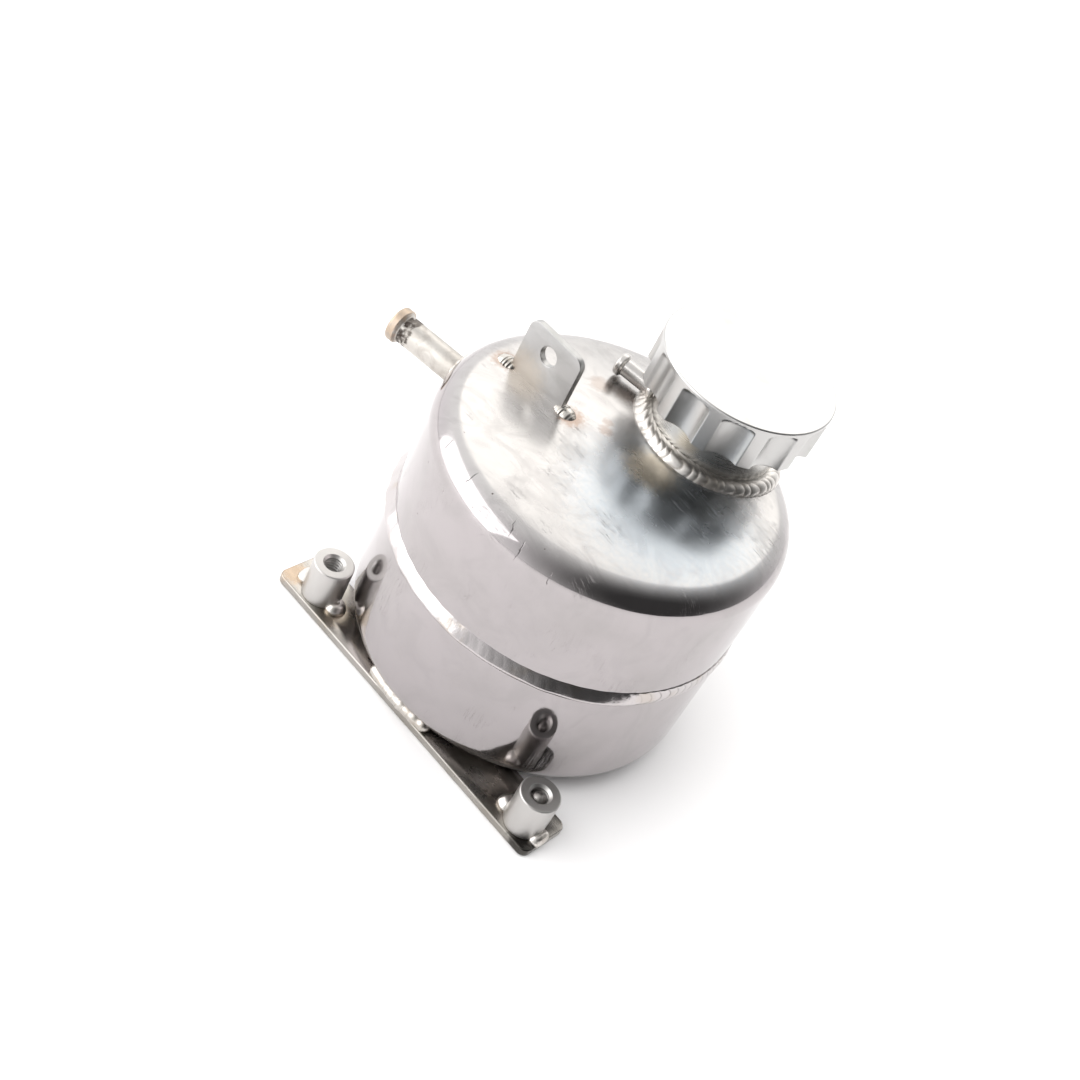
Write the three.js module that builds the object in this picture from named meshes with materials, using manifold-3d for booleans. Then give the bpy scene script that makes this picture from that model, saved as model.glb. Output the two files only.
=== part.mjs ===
// Small welded aluminium fluid reservoir with a screw cap, in millimetres, +Z up.
// Origin: centre of the foot plate's underside, +X along the plate, +Y towards the tank axis.

import * as THREE from 'three';
import { mergeVertices } from 'three/addons/utils/BufferGeometryUtils.js';
import Module from 'manifold-3d';

const wasm = await Module();
wasm.setup();

// ---------------------------------------------------------------- driving dimensions

const GAP = 0.3;                       // clearance between pieces that touch

const PLATE = { length: 104.4, width: 16.5, thickness: 2.5, cornerR: 2.5, boltR: 2.5 };

const TANK = {
  x: -1, y: 40,                        // tank axis, seen from the middle of the foot plate
  outerR: 50, wall: 2, edgeR: 7, shoulderR: 7.5,
  bottomZ: PLATE.thickness + GAP,
  shoulderZ: 71.6,                     // where the straight wall ends
  crownAngle: 83.7,                    // degrees of shoulder arc before the shallow crown starts
};

const SEAM = { z: 42.2, halfWidth: 2.6, proud: 0.9 };

const NECK = { x: 5.7, y: 29, outerR: 18, boreR: 15.2, topZ: 100.5, bottomZ: 70, weldR: 2 };

const CAP = {
  outerR: 24.5, boreR: 19.8, bottomZ: 92.4, topZ: 105.7, lid: 3, bevel: 0.8,
  flutes: 12, fluteR: 6.5, fluteDepth: 2.2, fluteShoulderZ: 102.3, fluteDomeH: 3, firstFlute: -86.2,
};

const THREAD = {
  pitch: 4, turns: 1.5, facets: 24, rootWidth: 1.7, crestWidth: 0.9, buried: 0.3,
  fadeAngle: 30, fadedHeight: 0.1,     // the ridge runs out to a tenth of its height at both ends
};
const NECK_THREAD = { rootR: NECK.outerR, crestR: 19.2, startZ: 99.2, startAngle: 0 };
const CAP_THREAD = { rootR: CAP.boreR, crestR: 18.5, startZ: 99.2, startAngle: 180 };

const GASKET = { outerR: 19, innerR: 13.5, thickness: 1.6 };

const RETURN_PIPE = {
  angle: 189, z: 65.5, outerR: 4.1, boreR: 2.9, beadR: 5.1, beadLength: 2.8, innerEnd: 46, outerEnd: 73.6,
};
const OUTLET_PIPE = {
  angle: 90, z: 17, outerR: 6.3, boreR: 5.1, beadR: 7.3, beadLength: 3, innerEnd: 46, outerEnd: 73,
};
const VENT = {
  angle: 188.5, z: 84.1, offset: 4.5, outerR: 2.5, boreR: 1.5, beadR: 3.25, beadLength: 2,
  innerEnd: 13, outerEnd: 30.4,
};

const TAB = {
  minX: -37.2, maxX: -18.3, y: -6.7, thickness: 2, topZ: 96.8, cornerR: 3,
  holeX: -28.2, holeZ: 90.7, holeR: 2.7,
};

const STANDOFF = { outerR: 5.75, boreR: 2.5, topZ: 15.1, chamfer: 0.6, leftX: -40.7, rightX: 44.6, y: -1.6 };
const TACK = { roomyR: 2.2, tightR: 1.5, sidewaysR: 3.2, heightR: 2.1, centreZ: 2.9, offset: 0.2 };
const SET_SCREW = { radius: 2.2, topZ: 14.9 };

const BAFFLE = { z: 30, thickness: 1.2, holeR: 12, flange: 5 };

const FINE = 60;                       // facets round the tank, neck and cap
const MEDIUM = 24;                     // facets round pipes and standoffs
const COARSE = 16;                     // facets round screws and weld beads

// ---------------------------------------------------------------- materials

function metal(color, roughness, metalness = 1) {
  return new THREE.MeshStandardMaterial({ color, roughness, metalness });
}

const MATERIALS = {
  polished: () => metal(0xc9c4c6, 0.12),
  machined: () => metal(0xd4d3d2, 0.35),
  sheet: () => metal(0xa7a39f, 0.4),
  weld: () => metal(0xbdb8b4, 0.3),
  stained: () => metal(0x8d8378, 0.3),
  steel: () => metal(0x9a9896, 0.25),
  rubber: () => metal(0x181818, 0.8, 0),
};

// ---------------------------------------------------------------- geometry helpers

const radians = THREE.MathUtils.degToRad;

function positionsOnly(geometry) {
  const bare = geometry.index ? geometry.clone() : geometry;
  bare.deleteAttribute('normal');
  bare.deleteAttribute('uv');
  return mergeVertices(bare, 1e-4);
}

function signedVolume(geometry) {
  const position = geometry.attributes.position;
  const index = geometry.index.array;
  const corner = [new THREE.Vector3(), new THREE.Vector3(), new THREE.Vector3()];
  let volume = 0;
  for (let i = 0; i < index.length; i += 3) {
    corner.forEach((v, k) => v.fromBufferAttribute(position, index[i + k]));
    volume += corner[0].dot(corner[1].cross(corner[2])) / 6;
  }
  return volume;
}

// Merged copy of a closed geometry whose faces point out.
function closed(geometry) {
  const merged = positionsOnly(geometry);
  const index = merged.index.array;
  const kept = [];
  for (let i = 0; i < index.length; i += 3) {
    const [a, b, c] = [index[i], index[i + 1], index[i + 2]];
    if (a !== b && b !== c && c !== a) kept.push(a, b, c);
  }
  merged.setIndex(kept);
  if (signedVolume(merged) < 0) {
    for (let i = 0; i < kept.length; i += 3) [kept[i], kept[i + 1]] = [kept[i + 1], kept[i]];
    merged.setIndex(kept);
  }
  return merged;
}

function solid(geometry) {
  const merged = closed(geometry);
  const vertProperties = new Float32Array(merged.attributes.position.array);
  const triVerts = new Uint32Array(merged.index.array);
  return new wasm.Manifold(new wasm.Mesh({ numProp: 3, vertProperties, triVerts }));
}

function geometryOf(body) {
  const mesh = body.getMesh();
  const geometry = new THREE.BufferGeometry();
  geometry.setAttribute('position', new THREE.BufferAttribute(new Float32Array(mesh.vertProperties), 3));
  geometry.setIndex(Array.from(mesh.triVerts));
  return geometry;
}

// Points of an arc in the (radius, height) half plane; angles in degrees from the outward direction.
function arc(centreR, centreZ, radius, fromAngle, toAngle, steps) {
  const points = [];
  for (let i = 0; i <= steps; i++) {
    const angle = radians(fromAngle + (toAngle - fromAngle) * i / steps);
    points.push([centreR + radius * Math.cos(angle), centreZ + radius * Math.sin(angle)]);
  }
  return points;
}

// Turned piece about the Z axis from (radius, height) pairs; a ring's profile closes on itself.
function turned(profile, facets, ring = false) {
  const points = profile.map(([r, z]) => new THREE.Vector2(Math.max(r, 0), z));
  if (ring) points.push(points[0].clone());
  return new THREE.LatheGeometry(points, facets).rotateX(Math.PI / 2);
}

function moved(geometry, x, y, z) {
  return geometry.translate(x, y, z);
}

// Turns a piece made along +Z so that it points sideways at an angle, then moves it to a start point.
function laidOut(geometry, angle, x, y, z) {
  return geometry.rotateY(Math.PI / 2).rotateZ(radians(angle)).translate(x, y, z);
}

function roundedOutline(minX, minY, maxX, maxY, radius) {
  const shape = new THREE.Shape();
  shape.moveTo(minX + radius, minY);
  shape.absarc(maxX - radius, minY + radius, radius, -Math.PI / 2, 0);
  shape.absarc(maxX - radius, maxY - radius, radius, 0, Math.PI / 2);
  shape.absarc(minX + radius, maxY - radius, radius, Math.PI / 2, Math.PI);
  shape.absarc(minX + radius, minY + radius, radius, Math.PI, Math.PI * 1.5);
  return shape;
}

function circleHole(x, y, radius) {
  return new THREE.Path().absarc(x, y, radius, 0, Math.PI * 2, true);
}

// Round bar of weld metal along a path.
function bead(path, radius, steps, sides = 8) {
  const section = new THREE.Shape().absarc(0, 0, radius, 0, Math.PI * 2);
  const settings = { steps, curveSegments: sides / 2, bevelEnabled: false, extrudePath: path };
  return new THREE.ExtrudeGeometry(section, settings);
}

// Path from a formula of an angle between two limits, in radians.
class AnglePath extends THREE.Curve {
  constructor(from, to, pointAt) {
    super();
    this.from = from;
    this.to = to;
    this.pointAt = pointAt;
  }
  getPoint(t) {
    return this.pointAt(this.from + (this.to - this.from) * t);
  }
}

// Screw-thread ridge: a straight trapezoid bar wound down a right-hand helix, fading out at both ends.
function threadRidge({ rootR, crestR, startZ, startAngle }) {
  const outward = Math.sign(crestR - rootR);
  const height = Math.abs(crestR - rootR);
  const section = new THREE.Shape();
  section.moveTo(-THREAD.buried, -THREAD.rootWidth / 2);
  section.lineTo(height, -THREAD.crestWidth / 2);
  section.lineTo(height, THREAD.crestWidth / 2);
  section.lineTo(-THREAD.buried, THREAD.rootWidth / 2);
  section.closePath();
  const sweep = THREAD.turns * Math.PI * 2;
  const steps = Math.round(THREAD.turns * THREAD.facets);
  const bar = new THREE.ExtrudeGeometry(section, { depth: sweep, steps, bevelEnabled: false });
  const position = bar.attributes.position;
  for (let i = 0; i < position.count; i++) {
    const along = position.getZ(i);
    const nearestEnd = Math.min(along, sweep - along);
    const fade = Math.min(1, THREAD.fadedHeight + nearestEnd / radians(THREAD.fadeAngle));
    const reach = position.getX(i) > 0 ? position.getX(i) * fade : position.getX(i);
    const radius = rootR + outward * reach;
    const angle = radians(startAngle) - along;
    const z = startZ - THREAD.pitch * along / (Math.PI * 2) + position.getY(i);
    position.setXYZ(i, radius * Math.cos(angle), radius * Math.sin(angle), z);
  }
  return bar;
}

// ---------------------------------------------------------------- tank surface

const shoulderCentreR = TANK.outerR - TANK.shoulderR;
const edgeCentreR = TANK.outerR - TANK.edgeR;
const crownTilt = radians(TANK.crownAngle);
const crownR = shoulderCentreR / Math.cos(crownTilt) + TANK.shoulderR;
const crownCentreZ = TANK.shoulderZ - shoulderCentreR * Math.tan(crownTilt);
const crownEdgeR = crownR * Math.cos(crownTilt);

// Height of the tank's top surface at a distance from the tank axis.
function topZ(distance) {
  if (distance < crownEdgeR) return crownCentreZ + Math.sqrt(crownR ** 2 - distance ** 2);
  return TANK.shoulderZ + Math.sqrt(Math.max(0, TANK.shoulderR ** 2 - (distance - shoulderCentreR) ** 2));
}

function bottomProfile(grow, steps) {
  const centreZ = TANK.bottomZ + TANK.edgeR;
  return [[0, TANK.bottomZ - grow], ...arc(edgeCentreR, centreZ, TANK.edgeR + grow, -90, 0, steps)];
}

function topProfile(grow, steps) {
  const radius = crownR + grow;
  const crown = [];
  const crownSteps = 4;
  for (let i = 1; i <= crownSteps; i++) {
    const angle = crownTilt + (Math.PI / 2 - crownTilt) * i / crownSteps;
    crown.push([radius * Math.cos(angle), crownCentreZ + radius * Math.sin(angle)]);
  }
  crown[crownSteps - 1][0] = 0;
  return [
    ...arc(shoulderCentreR, TANK.shoulderZ, TANK.shoulderR + grow, 0, TANK.crownAngle, steps),
    ...crown,
  ];
}

// The whole tank as one filled block, grown by a margin: what the fittings are cut back from.
function tankBlock(grow) {
  return solid(turned([...bottomProfile(grow, 5), ...topProfile(grow, 6)], FINE));
}

function neckBlock(radius, fromZ, toZ) {
  const rod = turned([[0, fromZ], [radius, fromZ], [radius, toZ], [0, toZ]], FINE);
  return solid(moved(rod, NECK.x, NECK.y, 0));
}

// ---------------------------------------------------------------- tank shells and seam

// Both shells end in a V so that the girth weld sits in a groove.
function upperShell() {
  const outer = topProfile(0, 6);
  const inner = topProfile(-TANK.wall, 5).reverse();
  const profile = [
    [TANK.outerR, SEAM.z + SEAM.halfWidth],
    ...outer,
    ...inner,
    [TANK.outerR - TANK.wall, SEAM.z + GAP / 2],
  ];
  const shell = solid(turned(profile, FINE, true));
  return geometryOf(shell
    .subtract(neckBlock(NECK.boreR, NECK.bottomZ, NECK.topZ))
    .subtract(pipeClearance(RETURN_PIPE)));
}

function lowerShell() {
  const outer = bottomProfile(0, 5);
  const inner = bottomProfile(-TANK.wall, 4).reverse();
  const profile = [
    ...outer,
    [TANK.outerR, SEAM.z - SEAM.halfWidth],
    [TANK.outerR - TANK.wall, SEAM.z - GAP / 2],
    ...inner,
  ];
  return geometryOf(solid(turned(profile, FINE, true)).subtract(pipeClearance(OUTLET_PIPE)));
}

function girthWeld() {
  const rootR = TANK.outerR - TANK.wall + 0.3;
  const half = SEAM.halfWidth - GAP - 0.1;
  const profile = [
    [rootR, SEAM.z - 0.05],
    [TANK.outerR, SEAM.z - half],
    [TANK.outerR + SEAM.proud, SEAM.z - half / 2],
    [TANK.outerR + SEAM.proud, SEAM.z + half / 2],
    [TANK.outerR, SEAM.z + half],
    [rootR, SEAM.z + 0.05],
  ];
  return turned(profile, FINE, true);
}

// Dished ring that stops the fluid from surging and frothing; its flange stands on the wall side.
function bafflePlate() {
  const rimR = TANK.outerR - TANK.wall - GAP;
  const { z, thickness, holeR, flange } = BAFFLE;
  const profile = [
    [holeR, z],
    [rimR, z],
    [rimR, z + flange],
    [rimR - thickness, z + flange],
    [rimR - thickness, z + thickness],
    [holeR, z + thickness],
  ];
  return turned(profile, FINE, true);
}

// ---------------------------------------------------------------- filler neck and cap

function fillerNeck() {
  const chamfer = 0.8;
  const profile = [
    [NECK.boreR, NECK.bottomZ],
    [NECK.outerR, NECK.bottomZ],
    [NECK.outerR, NECK.topZ - chamfer],
    [NECK.outerR - chamfer, NECK.topZ],
    [NECK.boreR, NECK.topZ],
  ];
  const tube = solid(turned(profile, FINE, true)).add(solid(threadRidge(NECK_THREAD)));
  return geometryOf(tube.translate(NECK.x, NECK.y, 0)
    .subtract(tankBlock(GAP))
    .subtract(pipeClearance(VENT)));
}

// Bar of weld metal that follows the foot of the neck over the crown and the shoulder.
function neckBead(beadR) {
  const ringR = NECK.outerR + 1.2;
  const pointAt = (angle) => {
    const x = NECK.x + ringR * Math.cos(angle);
    const y = NECK.y + ringR * Math.sin(angle);
    return new THREE.Vector3(x, y, topZ(Math.hypot(x, y)) + 0.7);
  };
  const overlap = 0.04;
  const nearHalf = bead(new AnglePath(-Math.PI - overlap, overlap, pointAt), beadR, 24);
  const farHalf = bead(new AnglePath(-overlap, Math.PI + overlap, pointAt), beadR, 24);
  return solid(nearHalf).add(solid(farHalf));
}

function neckWeld() {
  return geometryOf(neckBead(NECK.weldR)
    .subtract(tankBlock(GAP))
    .subtract(neckBlock(NECK.outerR + GAP, NECK.bottomZ, NECK.topZ))
    .subtract(pipeClearance(VENT)));
}

function fluteCutter(index) {
  const domeSteps = 5;
  const low = CAP.bottomZ - 1;
  const dome = [];
  for (let i = 1; i <= domeSteps; i++) {
    const angle = Math.PI / 2 * i / domeSteps;
    dome.push([CAP.fluteR * Math.cos(angle), CAP.fluteShoulderZ + CAP.fluteDomeH * Math.sin(angle)]);
  }
  dome[domeSteps - 1][0] = 0;
  const profile = [[0, low], [CAP.fluteR, low], [CAP.fluteR, CAP.fluteShoulderZ], ...dome];
  const angle = radians(CAP.firstFlute + 360 * index / CAP.flutes);
  const distance = CAP.outerR + CAP.fluteR - CAP.fluteDepth;
  return solid(moved(turned(profile, 32), distance * Math.cos(angle), distance * Math.sin(angle), 0));
}

// Screw cap, modelled about its own axis.
function capBody() {
  const { outerR, boreR, bottomZ, lid, bevel } = CAP;
  const profile = [
    [0, CAP.topZ],
    [outerR - bevel, CAP.topZ],
    [outerR, CAP.topZ - bevel],
    [outerR, bottomZ + bevel / 2],
    [outerR - bevel / 2, bottomZ],
    [boreR, bottomZ],
    [boreR, CAP.topZ - lid],
    [0, CAP.topZ - lid],
  ];
  let body = solid(turned(profile, FINE)).add(solid(threadRidge(CAP_THREAD)));
  for (let i = 0; i < CAP.flutes; i++) body = body.subtract(fluteCutter(i));
  return geometryOf(body);
}

function capGasket() {
  const low = CAP.topZ - CAP.lid - GAP - GASKET.thickness;
  const high = low + GASKET.thickness;
  const { innerR, outerR } = GASKET;
  return turned([[innerR, low], [outerR, low], [outerR, high], [innerR, high]], FINE, true);
}

// ---------------------------------------------------------------- hose pipes

// Where a pipe's own axis starts: the tank axis, or the neck axis with a sideways offset.
function pipeStart(pipe) {
  if (pipe !== VENT) return [0, 0];
  const sideways = radians(pipe.angle + 90);
  return [NECK.x + pipe.offset * Math.cos(sideways), NECK.y + pipe.offset * Math.sin(sideways)];
}

function pipeClearance(pipe) {
  const radius = pipe.outerR + GAP;
  const [from, to] = [pipe.innerEnd - 5, pipe.outerEnd];
  const rod = turned([[0, from], [radius, from], [radius, to], [0, to]], MEDIUM);
  return solid(laidOut(rod, pipe.angle, ...pipeStart(pipe), pipe.z));
}

// Plain tube with a raised hose bead just behind its open end.
function hosePipe(pipe) {
  const { outerR, boreR, beadR, beadLength, innerEnd, outerEnd } = pipe;
  const lip = 0.5;
  const profile = [
    [boreR, innerEnd],
    [outerR, innerEnd],
    [outerR, outerEnd - beadLength - lip],
    [beadR, outerEnd - beadLength],
    [beadR, outerEnd - 2 * lip],
    [beadR - lip, outerEnd],
    [boreR, outerEnd],
  ];
  return laidOut(turned(profile, MEDIUM, true), pipe.angle, ...pipeStart(pipe), pipe.z);
}

// Ring of weld round a pipe where it leaves its host wall.
function pipeWeld(pipe, wallDistance, host, beadR) {
  const ringR = pipe.outerR + beadR * 0.45;
  const ring = turned(arc(ringR, wallDistance + beadR * 0.3, beadR, 0, 315, 7), MEDIUM, true);
  return geometryOf(solid(laidOut(ring, pipe.angle, ...pipeStart(pipe), pipe.z))
    .subtract(host)
    .subtract(pipeClearance(pipe)));
}

function ventWeld() {
  const host = neckBlock(NECK.outerR + GAP, NECK.bottomZ, NECK.topZ)
    .add(tankBlock(GAP))
    .add(neckBead(NECK.weldR + GAP));
  const wallDistance = Math.sqrt(NECK.outerR ** 2 - VENT.offset ** 2);
  return pipeWeld(VENT, wallDistance, host, 1.1);
}

// ---------------------------------------------------------------- top tab

function topTab() {
  const buriedZ = TANK.shoulderZ;
  const outline = roundedOutline(TAB.minX, buriedZ, TAB.maxX, TAB.topZ, TAB.cornerR);
  outline.holes.push(circleHole(TAB.holeX, TAB.holeZ, TAB.holeR));
  const settings = { depth: TAB.thickness, bevelEnabled: false, curveSegments: 6 };
  const sheet = new THREE.ExtrudeGeometry(outline, settings);
  sheet.rotateX(Math.PI / 2).translate(0, TAB.y + TAB.thickness / 2, 0);
  return geometryOf(solid(sheet).subtract(tankBlock(GAP)));
}

function tabBlock() {
  const box = new THREE.BoxGeometry(TAB.maxX - TAB.minX + 2 * GAP, TAB.thickness + 2 * GAP, TAB.topZ);
  return solid(box.translate((TAB.maxX + TAB.minX) / 2, TAB.y, TAB.topZ / 2));
}

// Short tack of weld that wraps one lower end of the tab.
function tabWeld(endX, direction) {
  const radius = 1.9;
  const x = endX + direction * 0.8;
  const reach = 3.2;
  const z = topZ(Math.hypot(x, TAB.y)) + 0.5;
  const ball = new THREE.SphereGeometry(radius, COARSE, 10).scale(reach / radius, 1.5, 1);
  return geometryOf(solid(ball.translate(x, TAB.y, z)).subtract(tankBlock(GAP)).subtract(tabBlock()));
}

// ---------------------------------------------------------------- foot plate and its hardware

function footPlate() {
  const { length, width, thickness, cornerR } = PLATE;
  const outline = roundedOutline(-length / 2, -width / 2, length / 2, width / 2, cornerR);
  for (const x of [STANDOFF.leftX, STANDOFF.rightX]) {
    outline.holes.push(circleHole(x, STANDOFF.y, PLATE.boltR));
  }
  const bevel = 0.4;
  const plate = new THREE.ExtrudeGeometry(outline, {
    depth: thickness - 2 * bevel, bevelSize: bevel, bevelThickness: bevel, bevelOffset: -bevel,
    bevelSegments: 1, curveSegments: 5,
  });
  return plate.translate(0, 0, bevel);
}

function plateBlock(grow) {
  const { length, width, thickness } = PLATE;
  return solid(new THREE.BoxGeometry(length + 2 * grow, width + 2 * grow, thickness + 2 * grow)
    .translate(0, 0, thickness / 2));
}

// Bead that fills the wedge between the plate's outer edge and the rolled bottom edge of the tank.
function footWeld() {
  const ringR = 47.6;
  const z = 4;
  const pointAt = (angle) => new THREE.Vector3(
    TANK.x + ringR * Math.cos(angle), TANK.y + ringR * Math.sin(angle), z);
  const path = new AnglePath(radians(-105), radians(-76), pointAt);
  const shell = tankBlock(GAP).translate(TANK.x, TANK.y, 0);
  return geometryOf(solid(bead(path, 1.9, 14)).subtract(shell).subtract(plateBlock(GAP)));
}

function standoff(x) {
  const { outerR, boreR, topZ: high, chamfer } = STANDOFF;
  const low = PLATE.thickness + GAP;
  const profile = [
    [boreR, low],
    [outerR, low],
    [outerR, high - chamfer],
    [outerR - chamfer, high],
    [boreR + chamfer, high],
    [boreR, high - chamfer],
  ];
  return moved(turned(profile, MEDIUM, true), x, STANDOFF.y, 0);
}

// Tack of weld at the foot of a standoff, on its left (-1) or right (+1) side.
function standoffTack(x, direction, reachR) {
  const tack = new THREE.SphereGeometry(1, COARSE, 10).scale(reachR, TACK.sidewaysR, TACK.heightR);
  tack.translate(x + direction * (STANDOFF.outerR + TACK.offset), STANDOFF.y, TACK.centreZ);
  const postR = STANDOFF.outerR + GAP;
  const post = turned([[0, 0], [postR, 0], [postR, STANDOFF.topZ], [0, STANDOFF.topZ]], MEDIUM);
  return geometryOf(solid(tack)
    .subtract(plateBlock(GAP))
    .subtract(solid(moved(post, x, STANDOFF.y, 0)))
    .subtract(tankBlock(GAP).translate(TANK.x, TANK.y, 0)));
}

// Headless screw with a rounded tip, run up inside one standoff.
function setScrew(x) {
  const { radius, topZ: high } = SET_SCREW;
  const profile = [[0, 1], [radius, 1], ...arc(0, high - radius, radius, 0, 90, 5)];
  profile[profile.length - 1][0] = 0;
  return moved(turned(profile, COARSE), x, STANDOFF.y, 0);
}

// ---------------------------------------------------------------- assembly

const reservoir = new THREE.Group();
const tank = new THREE.Group();
const cap = new THREE.Group();
tank.position.set(TANK.x, TANK.y, 0);
cap.position.set(NECK.x, NECK.y, 0);
tank.add(cap);
reservoir.add(tank);

function place(parent, name, geometry, material) {
  const mesh = new THREE.Mesh(closed(geometry), MATERIALS[material]());
  mesh.name = name;
  mesh.geometry.computeVertexNormals();
  parent.add(mesh);
}

place(tank, 'upper_shell', upperShell(), 'polished');
place(tank, 'lower_shell', lowerShell(), 'polished');
place(tank, 'girth_weld', girthWeld(), 'weld');
place(tank, 'baffle_plate', bafflePlate(), 'sheet');
place(tank, 'filler_neck', fillerNeck(), 'machined');
place(tank, 'neck_weld', neckWeld(), 'weld');
place(cap, 'screw_cap', capBody(), 'machined');
place(cap, 'cap_gasket', capGasket(), 'rubber');
place(tank, 'vent_nipple', hosePipe(VENT), 'machined');
place(tank, 'vent_weld', ventWeld(), 'weld');
place(tank, 'return_pipe', hosePipe(RETURN_PIPE), 'machined');
place(tank, 'return_pipe_weld', pipeWeld(RETURN_PIPE, TANK.outerR, tankBlock(GAP), 1.6), 'weld');
place(tank, 'outlet_pipe', hosePipe(OUTLET_PIPE), 'machined');
place(tank, 'outlet_pipe_weld', pipeWeld(OUTLET_PIPE, TANK.outerR, tankBlock(GAP), 1.8), 'weld');
place(tank, 'top_tab', topTab(), 'sheet');
place(tank, 'tab_weld_left', tabWeld(TAB.minX, -1), 'weld');
place(tank, 'tab_weld_right', tabWeld(TAB.maxX, 1), 'weld');
place(reservoir, 'foot_plate', footPlate(), 'stained');
place(reservoir, 'foot_weld', footWeld(), 'weld');
for (const [side, x, outward, outerReach] of [
  ['left', STANDOFF.leftX, -1, TACK.roomyR],
  ['right', STANDOFF.rightX, 1, TACK.tightR],
]) {
  place(reservoir, `standoff_${side}`, standoff(x), 'machined');
  place(reservoir, `standoff_tack_${side}_outer`, standoffTack(x, outward, outerReach), 'weld');
  place(reservoir, `standoff_tack_${side}_inner`, standoffTack(x, -outward, TACK.roomyR), 'weld');
}
place(reservoir, 'set_screw_right', setScrew(STANDOFF.rightX), 'steel');

export default reservoir;
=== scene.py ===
"""Looks of the welded aluminium reservoir: fine meshes, metals, floor, light and camera.

Lengths are millimetres, turned into metres when a mesh is made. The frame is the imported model's.
"""
import math

import bmesh
import bpy
import numpy as np
from mathutils import Matrix, Vector, noise


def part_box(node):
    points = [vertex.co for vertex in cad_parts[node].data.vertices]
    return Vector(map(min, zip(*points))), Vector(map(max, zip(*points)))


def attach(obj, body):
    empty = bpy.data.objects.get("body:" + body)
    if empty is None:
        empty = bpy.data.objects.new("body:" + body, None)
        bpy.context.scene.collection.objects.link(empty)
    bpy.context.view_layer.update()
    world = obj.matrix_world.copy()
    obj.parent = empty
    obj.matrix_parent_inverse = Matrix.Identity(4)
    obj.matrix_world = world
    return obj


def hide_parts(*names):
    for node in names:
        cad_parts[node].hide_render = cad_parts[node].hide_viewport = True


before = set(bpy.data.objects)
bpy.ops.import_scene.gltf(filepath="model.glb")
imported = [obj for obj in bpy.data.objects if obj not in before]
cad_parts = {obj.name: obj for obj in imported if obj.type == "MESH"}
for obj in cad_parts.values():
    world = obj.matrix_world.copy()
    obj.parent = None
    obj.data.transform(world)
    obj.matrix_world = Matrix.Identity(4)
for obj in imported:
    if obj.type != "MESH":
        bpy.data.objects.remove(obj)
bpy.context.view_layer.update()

MM = 0.001
TURN = 2 * math.pi


# ---- sizes, read from the frame

def box_mm(node):
    """Lowest and highest corner of a CAD node, in millimetres."""
    low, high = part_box(node)
    return np.array(low) / MM, np.array(high) / MM


def middle(node):
    low, high = box_mm(node)
    return (low + high) / 2


PLATE_LOW, PLATE_HIGH = box_mm("foot_plate")
SHELL_LOW, SHELL_HIGH = box_mm("lower_shell")
CAP_LOW, CAP_HIGH = box_mm("screw_cap")
GASKET_LOW, GASKET_HIGH = box_mm("cap_gasket")
TAB_LOW, TAB_HIGH = box_mm("top_tab")
BAFFLE_LOW, BAFFLE_HIGH = box_mm("baffle_plate")
SCREW_LOW, SCREW_HIGH = box_mm("set_screw_right")

TANK_X, TANK_Y = middle("girth_weld")[:2]
TANK_R = (SHELL_HIGH[0] - SHELL_LOW[0]) / 2
TANK_BOTTOM = SHELL_LOW[2]
SEAM_Z = middle("girth_weld")[2]
WALL = 2.0
EDGE_R = 7.0
SHOULDER_R = 7.5
SHOULDER_Z = 71.6
CROWN_ANGLE = math.radians(83.7)       # shoulder arc before the shallow crown starts
SEAM_HALF = 2.6                        # half the height of the groove between the shells
SLIT_HALF = 0.15                       # half the slit left between them behind the weld

NECK_X, NECK_Y = middle("cap_gasket")[:2]
NECK_R, NECK_BORE = 18.0, 15.2
NECK_TOP = box_mm("filler_neck")[1][2]
CAP_BOTTOM, CAP_TOP = CAP_LOW[2], CAP_HIGH[2]
CAP_R, CAP_BORE, CAP_LID = 24.5, 19.8, 3.0
FLUTES, FLUTE_R, FLUTE_DEPTH, FIRST_FLUTE = 12, 6.5, 2.2, math.radians(-86.2)
FLUTE_SHOULDER_Z, FLUTE_DOME = 102.3, 2.4
THREAD_PITCH, THREAD_TURNS, THREAD_TOP = 4.0, 1.5, 99.2

# Hose pipes: direction in degrees, height, radii, and distances along the axis from its start.
RETURN_PIPE = {"angle": 189, "z": 65.5, "outer": 4.1, "bore": 2.9, "bead": 5.1, "bead_length": 2.8,
               "start": (TANK_X, TANK_Y), "near": 46, "far": 73.6}
OUTLET_PIPE = {"angle": 90, "z": 17, "outer": 6.3, "bore": 5.1, "bead": 7.3, "bead_length": 3.0,
               "start": (TANK_X, TANK_Y), "near": 46, "far": 73}
VENT_SIDEWAYS = 4.5
VENT_ANGLE = math.radians(188.5)
VENT_START = (NECK_X - VENT_SIDEWAYS * math.sin(VENT_ANGLE), NECK_Y + VENT_SIDEWAYS * math.cos(VENT_ANGLE))
VENT = {"angle": 188.5, "z": 84.1, "outer": 2.5, "bore": 1.5, "bead": 3.25, "bead_length": 2.0,
        "start": VENT_START, "near": 13, "far": 30.4}

STANDOFF_R, STANDOFF_BORE = 5.75, 2.5

# Where the photo was taken from: angles in degrees, distance in metres, lens and slides in
# millimetres. Before it slides, the camera looks at AIM, a point on the tank's axis.
CAMERA = {"azimuth": 25.2, "elevation": 41.0, "roll": 29.13, "distance": 0.45008, "lens": 55.69,
          "slide_right": -8.08, "slide_up": 2.21}
AIM = Vector((TANK_X, TANK_Y, 42.8)) * MM


# ---- shape helpers

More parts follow.
